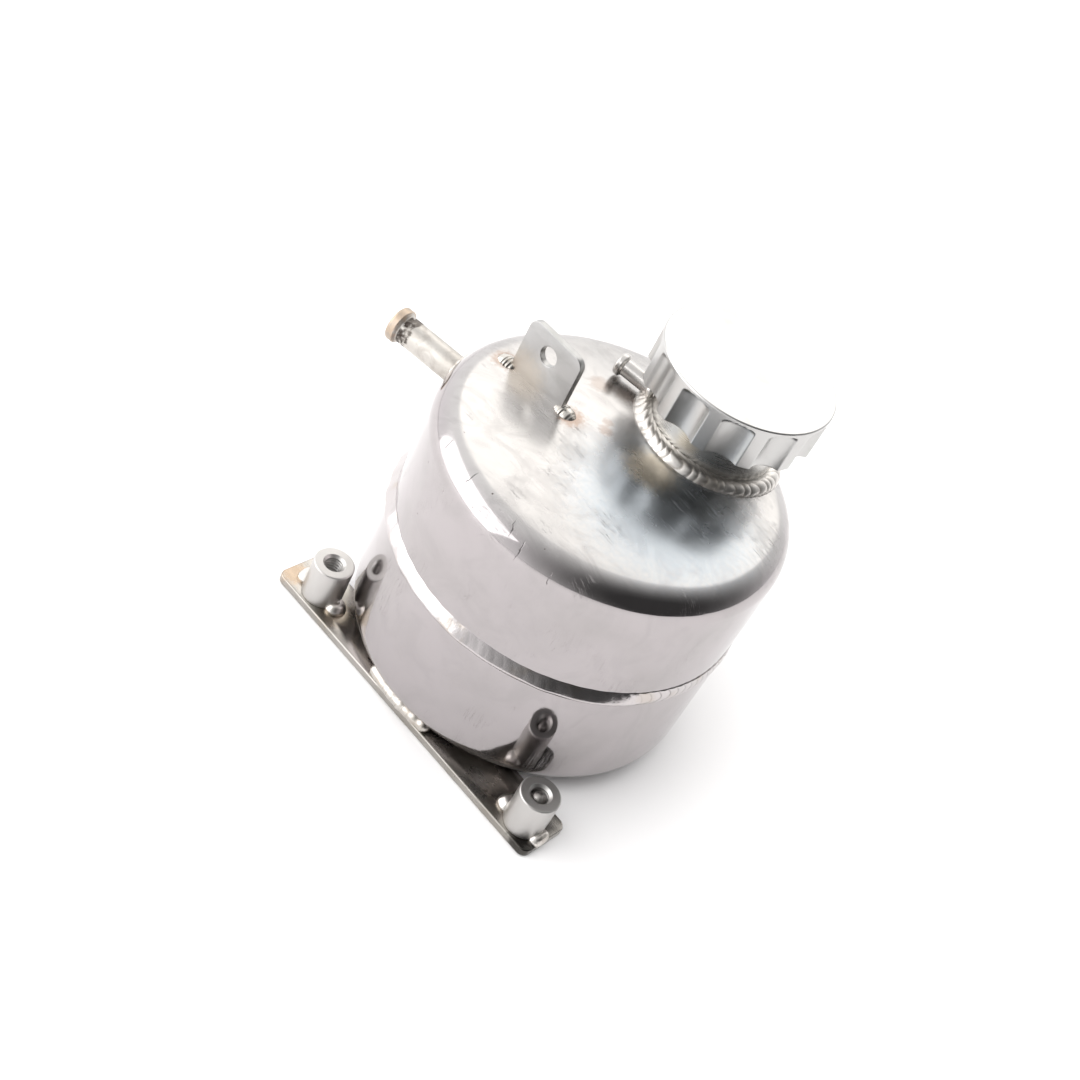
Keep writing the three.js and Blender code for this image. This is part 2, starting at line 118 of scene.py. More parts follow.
def rounded(corners, closed=True, steps=4, hold=0.03):
    """Outline through (x, y, radius) corners, each one rounded, with a point just outside each arc
    so that the flats beside it shade flat."""
    outline = []
    count = len(corners)
    for i, (x, y, radius) in enumerate(corners):
        point = np.array([x, y], float)
        is_end = not closed and i in (0, count - 1)
        if radius == 0 or is_end:
            outline.append(point)
            continue
        before = np.array(corners[i - 1][:2], float) - point
        after = np.array(corners[(i + 1) % count][:2], float) - point
        before /= np.linalg.norm(before)
        after /= np.linalg.norm(after)
        half = math.acos(np.clip(before @ after, -1, 1)) / 2
        reach = radius / math.tan(half)
        bisector = (before + after) / np.linalg.norm(before + after)
        centre = point + bisector * radius / math.sin(half)
        start = point + before * reach - centre
        end = point + after * reach - centre
        sweep = math.atan2(start[0] * end[1] - start[1] * end[0], start @ end)
        outline.append(point + before * (reach + hold))
        for k in range(steps + 1):
            turn = sweep * k / steps
            c, s = math.cos(turn), math.sin(turn)
            outline.append(centre + [c * start[0] - s * start[1], s * start[0] + c * start[1]])
        outline.append(point + after * (reach + hold))
    return outline


def subdivided(points, longest, closed=False):
    """The same outline with no step longer than a limit."""
    result = []
    last = len(points) if closed else len(points) - 1
    for i in range(last):
        a, b = np.array(points[i]), np.array(points[(i + 1) % len(points)])
        pieces = max(1, math.ceil(np.linalg.norm(b - a) / longest))
        result += [a + (b - a) * k / pieces for k in range(pieces)]
    if not closed:
        result.append(np.array(points[-1]))
    return result


def angles(columns):
    return np.arange(columns) * TURN / columns


def lathe_rows(outline, columns):
    """Rows of (radius, height) arrays, all round, from an outline of (radius, height) points."""
    radius = np.array([[max(p[0], 0.0)] * columns for p in outline])
    height = np.array([[p[1]] * columns for p in outline])
    return radius, height


def spun(radius, height):
    """Points of the rows round the Z axis."""
    around = angles(radius.shape[1])[None, :]
    return np.stack([radius * np.cos(around), radius * np.sin(around), height], axis=-1)


def level(z, columns):
    """One row all round at a height, or with one radius."""
    return np.full((1, columns), float(z))


def placed(points, origin, direction=(0, 0, 1)):
    """Points made round the Z axis, turned so that Z is the direction, and moved to the origin."""
    turn = Vector((0, 0, 1)).rotation_difference(Vector(direction)).to_matrix()
    return points @ np.array(turn).T + np.array(origin, float)


def turned(radius, height, centre):
    """Points of the rows round an upright axis."""
    return placed(spun(radius, height), (*centre, 0))


def wobble(t, seed, lowest=2, highest=9, waves=5):
    """Smooth unevenness between about -1 and 1 that repeats each time t grows by 1."""
    draw = np.random.default_rng(seed)
    counts = draw.integers(lowest, highest, waves)
    phases = draw.uniform(0, TURN, waves)
    total = sum(np.sin(TURN * c * t + p) for c, p in zip(counts, phases))
    return total / math.sqrt(waves * 2)


def smooth_step(x, low, high):
    t = np.clip((x - low) / (high - low), 0, 1)
    return t * t * (3 - 2 * t)


def grid_mesh(name, points, ring=True, attributes=None, sharp=35):
    """Closed mesh from rows of points in millimetres. The columns always close on themselves.
    The rows do too when ring is true, and otherwise the first and last row shrink to a point or get
    a lid. The UV map holds the distance round and the distance along, in metres."""
    rows, columns = points.shape[:2]
    index = np.arange(rows * columns).reshape(rows, columns)
    last = rows if ring else rows - 1
    upper = [(i + 1) % rows for i in range(last)]
    a = index[:last]
    b = np.roll(a, -1, axis=1)
    d = index[upper]
    c = np.roll(d, -1, axis=1)
    quads = np.stack([a, b, c, d], axis=-1).reshape(-1, 4)
    flat = points.reshape(-1, 3)
    corner = flat[quads]
    volume = np.einsum("ij,ij->i", corner[:, 0], np.cross(corner[:, 1], corner[:, 2])).sum()
    volume += np.einsum("ij,ij->i", corner[:, 0], np.cross(corner[:, 2], corner[:, 3])).sum()
    inward = volume < 0

    step = np.linalg.norm(points - np.roll(points, -1, axis=1), axis=-1).max(axis=0)
    across = np.concatenate([[0], np.cumsum(step)]) * MM
    climb = np.linalg.norm(points[upper] - points[:last], axis=-1).max(axis=1)
    along = np.concatenate([[0], np.cumsum(climb)]) * MM
    col = np.arange(columns)
    row = np.arange(last)
    u = np.stack([across[col], across[col + 1], across[col + 1], across[col]], axis=-1)
    v = np.stack([along[row], along[row], along[row + 1], along[row + 1]], axis=-1)
    uv = np.zeros((last, columns, 4, 2))
    uv[..., 0] = u[None]
    uv[..., 1] = v[:, None]
    uv = uv.reshape(-1, 4, 2)
    if inward:
        quads = quads[:, ::-1]
        uv = uv[:, ::-1]
    faces = quads.tolist()
    lid_loops = 0
    if not ring:
        for lid in (index[0][::-1], index[-1]):
            faces.append(lid[::-1].tolist() if inward else lid.tolist())
            lid_loops += columns

    mesh = bpy.data.meshes.new(name)
    mesh.from_pydata((flat * MM).tolist(), [], faces)
    layer = mesh.uv_layers.new(name="round_and_along")
    layer.data.foreach_set("uv", np.concatenate([uv.ravel(), np.zeros(lid_loops * 2)]))
    for key, values in (attributes or {}).items():
        attribute = mesh.attributes.new(key, "FLOAT", "POINT")
        attribute.data.foreach_set("value", np.asarray(values, np.float32).ravel())
    merged_at = 1e-7
    work = bmesh.new()
    work.from_mesh(mesh)
    bmesh.ops.remove_doubles(work, verts=work.verts, dist=merged_at)
    bmesh.ops.dissolve_degenerate(work, edges=work.edges, dist=merged_at)
    work.to_mesh(mesh)
    work.free()
    return shaded(mesh, sharp)


def lathe(name, outline, origin, columns=96, direction=(0, 0, 1), ring=True):
    """Closed turned mesh, with the distance along its axis kept as an attribute."""
    radius, height = lathe_rows(outline, columns)
    points = placed(spun(radius, height), origin, direction)
    return grid_mesh(name, points, ring, {"along_axis": height * MM})


def in_scene(name, data):
    made = bpy.data.objects.new(name, data)
    bpy.context.scene.collection.objects.link(made)
    return made


def as_mesh(name, data, drill=None):
    """Mesh of a curve, or of a mesh with the drill taken out of it."""
    scratch = in_scene(name, data)
    if drill:
        cut = scratch.modifiers.new("cut", "BOOLEAN")
        cut.operation = "DIFFERENCE"
        cut.object = drill
    depsgraph = bpy.context.evaluated_depsgraph_get()
    result = bpy.data.meshes.new_from_object(scratch.evaluated_get(depsgraph))
    bpy.data.objects.remove(scratch)
    return result


def shaded(mesh, sharp):
    """The mesh with smooth shading, except across edges sharper than an angle in degrees."""
    mesh.shade_smooth()
    mesh.set_sharp_from_angle(angle=math.radians(sharp))
    return mesh


def drilled(mesh, name, cutters):
    """The mesh with each cutter mesh taken out of it."""
    for number, cutter in enumerate(cutters):
        drill = in_scene(f"{name}_drill_{number}", cutter)
        mesh = as_mesh(name, mesh, drill)
        bpy.data.objects.remove(drill)
    return shaded(mesh, 35)


def rod(name, radius, low, high, origin, direction=(0, 0, 1), columns=96):
    """Plain closed bar that only serves as a drill."""
    outline = [(0, low), (radius, low), (radius, high), (0, high)]
    return lathe(name, outline, origin, columns, direction)


def plate_mesh(name, outlines, thickness, bevel, matrix):
    """Flat sheet with rounded edges, from closed outlines in millimetres; the first is the outside."""
    curve = bpy.data.curves.new(name, "CURVE")
    curve.dimensions = "2D"
    curve.fill_mode = "BOTH"
    curve.extrude = (thickness / 2 - bevel) * MM
    curve.bevel_depth = bevel * MM
    curve.bevel_resolution = 3
    curve.offset = -bevel * MM
    for outline in outlines:
        spline = curve.splines.new("POLY")
        spline.points.add(len(outline) - 1)
        for point, (x, y) in zip(spline.points, outline):
            point.co = (x * MM, y * MM, 0, 1)
        spline.use_cyclic_u = True
    mesh = as_mesh(name, curve)
    mesh.transform(matrix)
    work = bmesh.new()
    work.from_mesh(mesh)
    bmesh.ops.remove_doubles(work, verts=work.verts, dist=1e-6)
    bmesh.ops.recalc_face_normals(work, faces=work.faces)
    work.to_mesh(mesh)
    work.free()
    return shaded(mesh, 30)


def circle_outline(x, y, radius, count=64):
    return [(x + radius * math.cos(a), y + radius * math.sin(a)) for a in angles(count)]


def add_piece(node, mesh, material, body):
    """Shows a fine mesh in place of a CAD node, riding on the same body."""
    piece = in_scene(f"{node}_fine", mesh)
    mesh.materials.clear()
    mesh.materials.append(material)
    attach(piece, body)
    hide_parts(node)


# ---- weld beads

def ripples(distance, bow, pitch, seed):
    """Height from 0 in a valley to 1 on a crest of the overlapping scales of a hand-made weld. The
    scales are a pitch apart on average, and bow bends them backwards away from the middle."""
    total = distance.max() if distance.size else 1.0
    uneven = 0.35 * pitch * wobble(distance / total, seed, 5, 17)
    phase = (distance + uneven) / pitch + bow
    return np.abs(np.sin(np.pi * phase)) ** 0.7


def bead_mesh(name, path, radii, up, pitch, depth, seed, closed, sides=28, bow=0.45):
    """Rippled round bar of weld metal along a path. up is the direction its crest faces, the same for
    the whole path or one for each point."""
    path = np.asarray(path, float)
    steps = len(path)
    up = np.broadcast_to(np.asarray(up, float), (steps, 3))
    if closed:
        tangent = np.roll(path, -1, axis=0) - np.roll(path, 1, axis=0)
    else:
        tangent = np.gradient(path, axis=0)
    tangent /= np.linalg.norm(tangent, axis=1, keepdims=True)
    side = np.cross(tangent, up)
    side /= np.linalg.norm(side, axis=1, keepdims=True)
    crest = np.cross(side, tangent)
    step = np.linalg.norm(np.diff(path, axis=0), axis=1)
    distance = np.concatenate([[0], np.cumsum(step)])
    if closed:
        lap = distance[-1] + np.linalg.norm(path[0] - path[-1])
        pitch = lap / round(lap / pitch)
    around = angles(sides)
    lean = np.cos(around)[None, :]                       # 1 on the crest, 0 at the sides
    scale = ripples(distance[:, None], bow * (1 - lean), pitch, seed)
    lumps = wobble(distance / distance[-1], seed + 1, 3, 11)[:, None]
    radius = np.asarray(radii)[:, None] * (1 + 0.05 * lumps) - depth * (1 - scale)
    radius = np.maximum(radius, 0.05)
    points = path[:, None] + radius[..., None] * (
        np.cos(around)[None, :, None] * crest[:, None] + np.sin(around)[None, :, None] * side[:, None])
    return grid_mesh(name, points, ring=closed, attributes={"ripple": scale}, sharp=60)


def ring_path(centre, radius, steps, direction=(0, 0, 1), lift=None):
    """Circle of points round a direction, each raised along it by lift(x, y) when that is given."""
    around = angles(steps)
    flat = np.stack([radius * np.cos(around), radius * np.sin(around), np.zeros(steps)], axis=1)
    points = placed(flat, centre, direction)
    if lift:
        points[:, 2] += [lift(x, y) for x, y in points[:, :2]]
    return points


def tapered(steps, radius, ends=0.18):
    """Radii along an open bead that swells quickly at both ends."""
    t = np.linspace(0, 1, steps)
    nearest = np.minimum(t, 1 - t)
    return radius * np.sqrt(np.clip(1 - (1 - np.minimum(nearest / ends, 1)) ** 2, 0.02, 1))


# ---- tank

SHOULDER_CENTRE = TANK_R - SHOULDER_R
CROWN_R = SHOULDER_CENTRE / math.cos(CROWN_ANGLE) + SHOULDER_R
CROWN_CENTRE_Z = SHOULDER_Z - SHOULDER_CENTRE * math.tan(CROWN_ANGLE)


def crown_z(x, y):
    """Height of the tank's top surface above a point."""
    distance = math.hypot(x - TANK_X, y - TANK_Y)
    if distance < CROWN_R * math.cos(CROWN_ANGLE):
        return CROWN_CENTRE_Z + math.sqrt(CROWN_R ** 2 - distance ** 2)
    across = min(distance - SHOULDER_CENTRE, SHOULDER_R)
    return SHOULDER_Z + math.sqrt(SHOULDER_R ** 2 - across ** 2)


def arc(centre_r, centre_z, radius, start, end, steps):
    """Points of an arc in the (radius, height) plane, angles in radians from the outward direction."""
    turns = [start + (end - start) * k / steps for k in range(steps + 1)]
    return [np.array([centre_r + radius * math.cos(a), centre_z + radius * math.sin(a)]) for a in turns]


def top_outline(inset, steps, crown_steps):
    shoulder = arc(SHOULDER_CENTRE, SHOULDER_Z, SHOULDER_R - inset, 0, CROWN_ANGLE, steps)
    crown = arc(0, CROWN_CENTRE_Z, CROWN_R - inset, CROWN_ANGLE, math.pi / 2, crown_steps)
    crown[-1][0] = 0
    return shoulder + crown[1:]


def bottom_outline(inset, steps):
    """From the middle of the underside, out along it and up its rolled edge."""
    centre_r, centre_z = TANK_R - EDGE_R, TANK_BOTTOM + EDGE_R
    edge = arc(centre_r, centre_z, EDGE_R - inset, -math.pi / 2, 0, steps)
    return [np.array([0, TANK_BOTTOM + inset])] + edge


def hand_worked(points, depth, wavelength):
    """Points pushed in and out a little, as on metal that was spun, hammered and polished by hand."""
    centre = np.array([TANK_X, TANK_Y, SEAM_Z])
    outward = points - centre
    outward[..., 2] *= 0.5
    outward /= np.maximum(np.linalg.norm(outward, axis=-1, keepdims=True), 1e-6)
    flat = points.reshape(-1, 3) / wavelength
    swell = np.array([noise.noise(Vector(p)) for p in flat]).reshape(points.shape[:2])
    return points + outward * (depth * swell)[..., None]


WALL_STEP = 2.4
TANK_COLUMNS = 288


def shell_mesh(name, outer, inner):
    outline = subdivided(outer, WALL_STEP) + subdivided(inner, 4 * WALL_STEP)
    radius, height = lathe_rows(outline, TANK_COLUMNS)
    points = turned(radius, height, (TANK_X, TANK_Y))
    return grid_mesh(name, hand_worked(points, depth=0.10, wavelength=26))


def shell_lip(far_z, side):
    """End of a shell's wall at the seam, and the foot of the weld groove behind it. side is 1 above
    the seam and -1 below it."""
    foot = (TANK_R - WALL, SEAM_Z + side * SLIT_HALF)
    edge = (TANK_R, SEAM_Z + side * SEAM_HALF)
    lip = rounded([(TANK_R, far_z, 0), (*edge, 0.35), (*foot, 0)], closed=False)
    return lip[1:-1], [np.array(foot)]


def upper_shell_mesh():
    lip, foot = shell_lip(SHOULDER_Z, 1)
    outer = lip[::-1] + top_outline(0, 26, 22)
    inner = top_outline(WALL, 12, 10)[::-1] + foot
    neck_hole = rod("neck_hole", NECK_BORE, low=60, high=110, origin=(NECK_X, NECK_Y, 0))
    pipe_hole = pipe_rod("return_hole", RETURN_PIPE)
    return drilled(shell_mesh("upper_shell", outer, inner), "upper_shell", [neck_hole, pipe_hole])


def lower_shell_mesh():
    lip, foot = shell_lip(TANK_BOTTOM, -1)
    outer = bottom_outline(0, 20) + lip
    inner = foot + bottom_outline(WALL, 10)[::-1]
    pipe_hole = pipe_rod("outlet_hole", OUTLET_PIPE)
    return drilled(shell_mesh("lower_shell", outer, inner), "lower_shell", [pipe_hole])


def girth_weld_mesh():
    """Band of weld with overlapping scales. On the side away from the pipes it was filed to a long
    slope above a low ridge; on the other side it was left round."""
    columns, across = 1200, 34
    around = angles(columns)[None, :]
    t = np.linspace(-1, 1, across)[:, None]
    scales = 110
    scale = ripples(around * TANK_R, 0.6 * t ** 2, TURN * TANK_R / scales, seed=11)
    filed_middle, filed_half, run_out = math.radians(262), math.radians(74), math.radians(16)
    from_middle = np.abs((around - filed_middle + math.pi) % TURN - math.pi)
    filed = smooth_step(from_middle, filed_half + run_out, filed_half - run_out)

    round_half, round_proud = SEAM_HALF - 0.1, 0.6
    slope_top, ridge_z, ridge_proud, ridge_t = 3.0, -0.3, 1.9, -0.2
    above = np.clip((t - ridge_t) / (1 - ridge_t), 0, 1)
    below = np.clip((ridge_t - t) / (1 + ridge_t), 0, 1)
    filed_z = ridge_z + above * (slope_top - ridge_z) - below * (round_half + ridge_z)
    filed_proud = ridge_proud * (1 - above ** 1.12) * (1 - below ** 1.6)
    round_crest = np.clip(1 - t ** 2, 0, 1) ** 0.4
    proud = filed_proud * filed + round_proud * round_crest * (1 - filed)
    uneven = 1 + 0.10 * wobble(around / TURN, 12, 6, 40)
    valley = 0.03 * filed + 0.22 * (1 - filed)
    radius = TANK_R - 0.08 + proud * uneven - valley * (1 - scale) * round_crest
    edge = 0.10 * wobble(around / TURN, 13, 10, 60) * t
    height = SEAM_Z + filed_z * filed + t * round_half * (1 - filed) + edge
    root = level(TANK_R - WALL + 0.3, columns)
    radius = np.concatenate([root, radius, root])
    height = np.concatenate([level(SEAM_Z - 0.05, columns), height, level(SEAM_Z + 0.05, columns)])
    clean = np.maximum(scale, 0.8 * filed)
    shade = np.concatenate([root * 0, clean, root * 0])
    points = turned(radius, height, (TANK_X, TANK_Y))
    return grid_mesh("girth_weld", points, attributes={"ripple": shade}, sharp=50)


def baffle_mesh():
    """Dished ring inside the tank; its flange stands up against the wall."""
    rim = (BAFFLE_HIGH[0] - BAFFLE_LOW[0]) / 2
    low, high = BAFFLE_LOW[2], BAFFLE_HIGH[2]
    sheet, hole = 1.2, 12.0
    corners = [(hole, low, 0.3), (rim, low, 1.6), (rim, high, 0.3), (rim - sheet, high, 0.3),
               (rim - sheet, low + sheet, 0.4), (hole, low + sheet, 0.3)]
    return lathe("baffle_plate", rounded(corners), (TANK_X, TANK_Y, 0), 144)


# ---- neck and cap

def thread_ridge(around, height, start_angle, root_width=1.7, crest_width=0.9, fade=math.radians(30)):
    """How far the thread's ridge stands out, from 0 to 1, at each angle and height."""
    ridge = np.zeros(np.broadcast(around, height).shape)
    sweep = THREAD_TURNS * TURN
    for turn in range(math.ceil(THREAD_TURNS) + 1):
        along = (start_angle - around) % TURN + turn * TURN
        centre = THREAD_TOP - THREAD_PITCH * along / TURN
        flank = (root_width / 2 - np.abs(height - centre)) / ((root_width - crest_width) / 2)
        ends = np.clip(np.minimum(along, sweep - along) / fade, 0, 1)
        ridge = np.maximum(ridge, smooth_step(flank, 0, 1) * ends)
    return ridge


def neck_mesh():
    columns = 192
    around = angles(columns)[None, :]
    x = NECK_X + NECK_R * np.cos(around)
    y = NECK_Y + NECK_R * np.sin(around)
    buried = 0.9
    foot = np.array([[crown_z(px, py) - buried for px, py in zip(x[0], y[0])]])
    thread_low = THREAD_TOP - THREAD_TURNS * THREAD_PITCH - 1.2
    plain = [foot + (thread_low - foot) * k / 8 for k in range(8)]
    threaded = [level(z, columns) for z in np.arange(thread_low, NECK_TOP - 0.8, 0.16)]
    outer_z = np.concatenate(plain + threaded)
    outer_r = NECK_R + 1.2 * thread_ridge(around, outer_z, 0.0)
    mouth = rounded([(NECK_R, NECK_TOP - 2, 0), (NECK_R, NECK_TOP, 0.7), (NECK_BORE, NECK_TOP, 0.5),
                     (NECK_BORE, NECK_TOP - 2, 0)], closed=False)
    mouth_r, mouth_z = lathe_rows(mouth[1:-1], columns)
    bore_z = np.concatenate([foot + (NECK_TOP - 2 - foot) * k / 8 for k in range(8, -1, -1)])
    bore_r = np.full_like(bore_z, NECK_BORE)
    radius = np.concatenate([outer_r, mouth_r, bore_r])
    height = np.concatenate([outer_z, mouth_z, bore_z])
    return grid_mesh("filler_neck", turned(radius, height, (NECK_X, NECK_Y)))


def neck_weld_mesh():
    ring = 18.9
    path = ring_path((NECK_X, NECK_Y, 0), ring, 760, lift=lambda x, y: crown_z(x, y) - 0.8)
    outward = path - np.array([NECK_X, NECK_Y, 0])
    outward[:, 2] = 0
    outward /= np.linalg.norm(outward, axis=1, keepdims=True)
    up = outward + np.array([0, 0, 1.0])
    around = np.arange(len(path)) / len(path)
    radii = 3.3 + 0.12 * wobble(around, 21, 3, 8)
    return bead_mesh("neck_weld", path, radii, up, pitch=2.5, depth=0.17, seed=22, closed=True,
                     sides=56, bow=2.2)


def cap_side(around, height):
    """Radius of the cap's fluted side. Each flute is a round-nosed cut from below, and its edges are
    broken by a small radius."""
    spacing = TURN / FLUTES
    lean = (around - FIRST_FLUTE + spacing / 2) % spacing - spacing / 2
    rise = np.clip((height - FLUTE_SHOULDER_Z) / FLUTE_DOME, 0, 1)
    nose = FLUTE_R * (1 - rise ** 4) ** 0.25
    distance = CAP_R + FLUTE_R - FLUTE_DEPTH
    inside = nose ** 2 - (distance * np.sin(lean)) ** 2
    cut = distance * np.cos(lean) - np.sqrt(np.maximum(inside, 0))
    cut = np.where(inside > 0, cut, CAP_R + 9)
    softness = 0.22
    blend = np.clip(0.5 + 0.5 * (cut - CAP_R) / softness, 0, 1)
    return cut * (1 - blend) + CAP_R * blend - softness * blend * (1 - blend)


def cap_mesh():
    columns = FLUTES * 72
    around = angles(columns)[None, :]
    bevel, low_edge = 0.45, 0.3
    lid_z = CAP_TOP - CAP_LID
    turns = np.linspace(0, math.pi / 2, 5)

    def stack(heights):
        return np.concatenate([level(z, columns) for z in heights])

    underside = lathe_rows([(r, lid_z) for r in (0, 6, 12, CAP_BORE - 0.4)], columns)
    bore_z = stack(np.arange(lid_z - 0.3, CAP_BOTTOM + 0.6, -0.2))
    bore = (CAP_BORE - 1.3 * thread_ridge(around, bore_z, math.pi), bore_z)
    mouth = arc(CAP_BORE + 0.5, CAP_BOTTOM + 0.5, 0.5, math.pi, 1.5 * math.pi, 4)
    mouth = lathe_rows(mouth + [np.array([CAP_BORE + 0.55, CAP_BOTTOM])], columns)
    low_side = cap_side(around, level(CAP_BOTTOM, columns))
    low = (np.concatenate([low_side - 0.35] + [low_side - low_edge * (1 - math.sin(a)) for a in turns]),
           stack([CAP_BOTTOM] + [CAP_BOTTOM + low_edge * (1 - math.cos(a)) for a in turns]))
    wall_z = stack(np.arange(CAP_BOTTOM + 0.35, CAP_TOP - bevel, 0.16))
    wall = (cap_side(around, wall_z), wall_z)
    rim = (stack([CAP_R - bevel * (1 - math.cos(a)) for a in turns]),
           stack([CAP_TOP - bevel * (1 - math.sin(a)) for a in turns]))
    face = lathe_rows([(r, CAP_TOP) for r in (CAP_R - bevel - 0.05, 20, 14, 8, 3, 0)], columns)
    radius, height = (np.concatenate(rows) for rows in zip(underside, bore, mouth, low, wall, rim, face))
    return grid_mesh("screw_cap", turned(radius, height, (NECK_X, NECK_Y)), ring=False, sharp=50)


def gasket_mesh():
    inner, outer = 13.5, (GASKET_HIGH[0] - GASKET_LOW[0]) / 2
    low, high = GASKET_LOW[2], GASKET_HIGH[2]
    corners = [(inner, low, 0.3), (outer, low, 0.3), (outer, high, 0.3), (inner, high, 0.3)]
    return lathe("cap_gasket", rounded(corners), (NECK_X, NECK_Y, 0), 128)


# ---- hose pipes

def pipe_axis(pipe):
    turn = math.radians(pipe["angle"])
    return (*pipe["start"], pipe["z"]), (math.cos(turn), math.sin(turn), 0)


def pipe_rod(name, pipe):
    origin, direction = pipe_axis(pipe)
    return rod(name, pipe["outer"] - 0.4, pipe["near"] - 6, pipe["near"] + 9, origin, direction)


def pipe_mesh(name, pipe):
    """Tube with a rolled hose bead just behind its open end."""
    outer, bore, bead = pipe["outer"], pipe["bore"], pipe["bead"]
    near, far = pipe["near"], pipe["far"]
    back = far - pipe["bead_length"]
    lip = 0.45
    corners = [(bore, near, 0.2), (outer, near, 0.2), (outer, back - lip, 0.35), (bead, back + 0.1, 0.5),
               (bead, far - 0.2, 0.7), (bore, far, 0.4)]
    outline = subdivided(rounded(corners, steps=5), 3.0, closed=True)
    origin, direction = pipe_axis(pipe)
    return lathe(name, outline, origin, 96, direction)


def pipe_weld_mesh(name, pipe, host_distance, bead, seed):
    """Ring of weld round a pipe where it leaves a wall. host_distance gives how far along the pipe's
    axis the wall's surface is, for a distance sideways from the axis."""
    origin, direction = pipe_axis(pipe)
    ring = pipe["outer"] + bead * 0.35
    steps = max(160, round(TURN * ring / 2.0) * 14)
    around = angles(steps)
    up = np.array([0, 0, 1.0])
    side = np.cross(up, direction)
    centre = np.array(origin)
    axis = np.array(direction)
    ring_offset = ring * (np.cos(around)[:, None] * side + np.sin(around)[:, None] * up)
    path = np.array([centre + o + axis * (host_distance(o @ side) + bead * 0.15)
                     for o in ring_offset])
    facing = ring_offset / ring + axis
    radii = bead * (1 + 0.08 * wobble(around / TURN, seed, 2, 6))
    return bead_mesh(name, path, radii, facing, pitch=2.0, depth=0.13, seed=seed + 1, closed=True,
                     sides=22)


def tank_wall_distance(sideways):
    return math.sqrt(TANK_R ** 2 - sideways ** 2)


def neck_wall_distance(sideways):
    offset = VENT_SIDEWAYS - sideways
    return math.sqrt(NECK_R ** 2 - min(abs(offset), NECK_R - 1) ** 2)


# ---- tab

def tab_mesh():
    thickness = TAB_HIGH[1] - TAB_LOW[1]
    buried_z = 79.1
    corner = 3.0
    outline = rounded([(TAB_LOW[0], buried_z, 0), (TAB_HIGH[0], buried_z, 0),
                       (TAB_HIGH[0], TAB_HIGH[2], corner), (TAB_LOW[0], TAB_HIGH[2], corner)], steps=10)
    hole_x, hole_z, hole_r = TANK_X - 28.2, 90.7, 2.7
    upright = Matrix.Translation((0, middle("top_tab")[1] * MM, 0)) @ Matrix.Rotation(math.pi / 2, 4, "X")
    hole = circle_outline(hole_x, hole_z, hole_r)
    return plate_mesh("top_tab", [outline, hole], thickness, 0.22, upright)


def tab_weld_mesh(name, end_x, direction, seed):
    """Short bead that runs away from one lower end of the tab, over the crown."""
    y = middle("top_tab")[1]
    steps = 96
    reach = np.linspace(-2.6, 5.0, steps)
    path = np.array([(end_x + direction * r, y, crown_z(end_x + direction * r, y) - 1.6) for r in reach])
    radii = tapered(steps, 2.95, ends=0.45)
    return bead_mesh(name, path, radii, (0, 0, 1), pitch=2.1, depth=0.0, seed=seed, closed=False,
                     sides=36, bow=0.8)


# ---- foot plate and standoffs

def foot_plate_mesh():
    low, high = PLATE_LOW, PLATE_HIGH
    corner, hole_r = 2.5, 2.5
    outline = rounded([(low[0], low[1], corner), (high[0], low[1], corner), (high[0], high[1], corner),
                       (low[0], high[1], corner)], steps=8)
    holes = [circle_outline(*middle(node)[:2], hole_r) for node in ("standoff_left", "standoff_right")]
    thickness = high[2] - low[2]
    rest = Matrix.Translation((0, 0, (low[2] + high[2]) / 2 * MM))
    return plate_mesh("foot_plate", [outline] + holes, thickness, 0.45, rest)


def foot_weld_mesh():
    """Bead in the wedge between the plate's outer edge and the rolled lower edge of the tank."""
    ring, z, steps = 47.6, 3.9, 190
    turns = np.radians(np.linspace(-105, -76, steps))
    x, y = TANK_X + ring * np.cos(turns), TANK_Y + ring * np.sin(turns)
    path = np.stack([x, y, np.full(steps, z)], axis=1)
    radii = tapered(steps, 1.75, ends=0.08)
    outward = np.stack([np.cos(turns), np.sin(turns), np.full(steps, 0.4)], axis=1)
    return bead_mesh("foot_weld", path, radii, outward, pitch=2.2, depth=0.0, seed=41, closed=False)


def standoff_mesh(node):
    """Turned post with a tapped hole."""
    low, high = box_mm(node)
    x, y = middle(node)[:2]
    foot, top = low[2] - 0.25, high[2]
    columns = 96
    around = angles(columns)[None, :]
    outer = rounded([(STANDOFF_BORE + 0.4, foot, 0), (STANDOFF_R, foot, 0.2), (STANDOFF_R, top, 0.45),
                     (STANDOFF_BORE + 0.75, top, 0.15), (STANDOFF_BORE, top - 0.75, 0.1)], closed=False)
    outer_r, outer_z = lathe_rows(subdivided(outer, 2.0), columns)
    pitch, depth = 1.0, 0.42
    bore_z = np.concatenate([level(z, columns) for z in np.arange(top - 0.85, foot, -0.11)])
    phase = (bore_z / pitch - around / TURN) % 1
    groove = np.clip(1 - np.abs(phase - 0.5) / 0.42, 0, 1)
    run_in = smooth_step(bore_z, top - 0.8, top - 1.6)
    bore_r = STANDOFF_BORE + depth * groove * run_in
    radius = np.concatenate([outer_r, bore_r])
    height = np.concatenate([outer_z, bore_z])
    return grid_mesh(node, turned(radius, height, (x, y)), sharp=40)


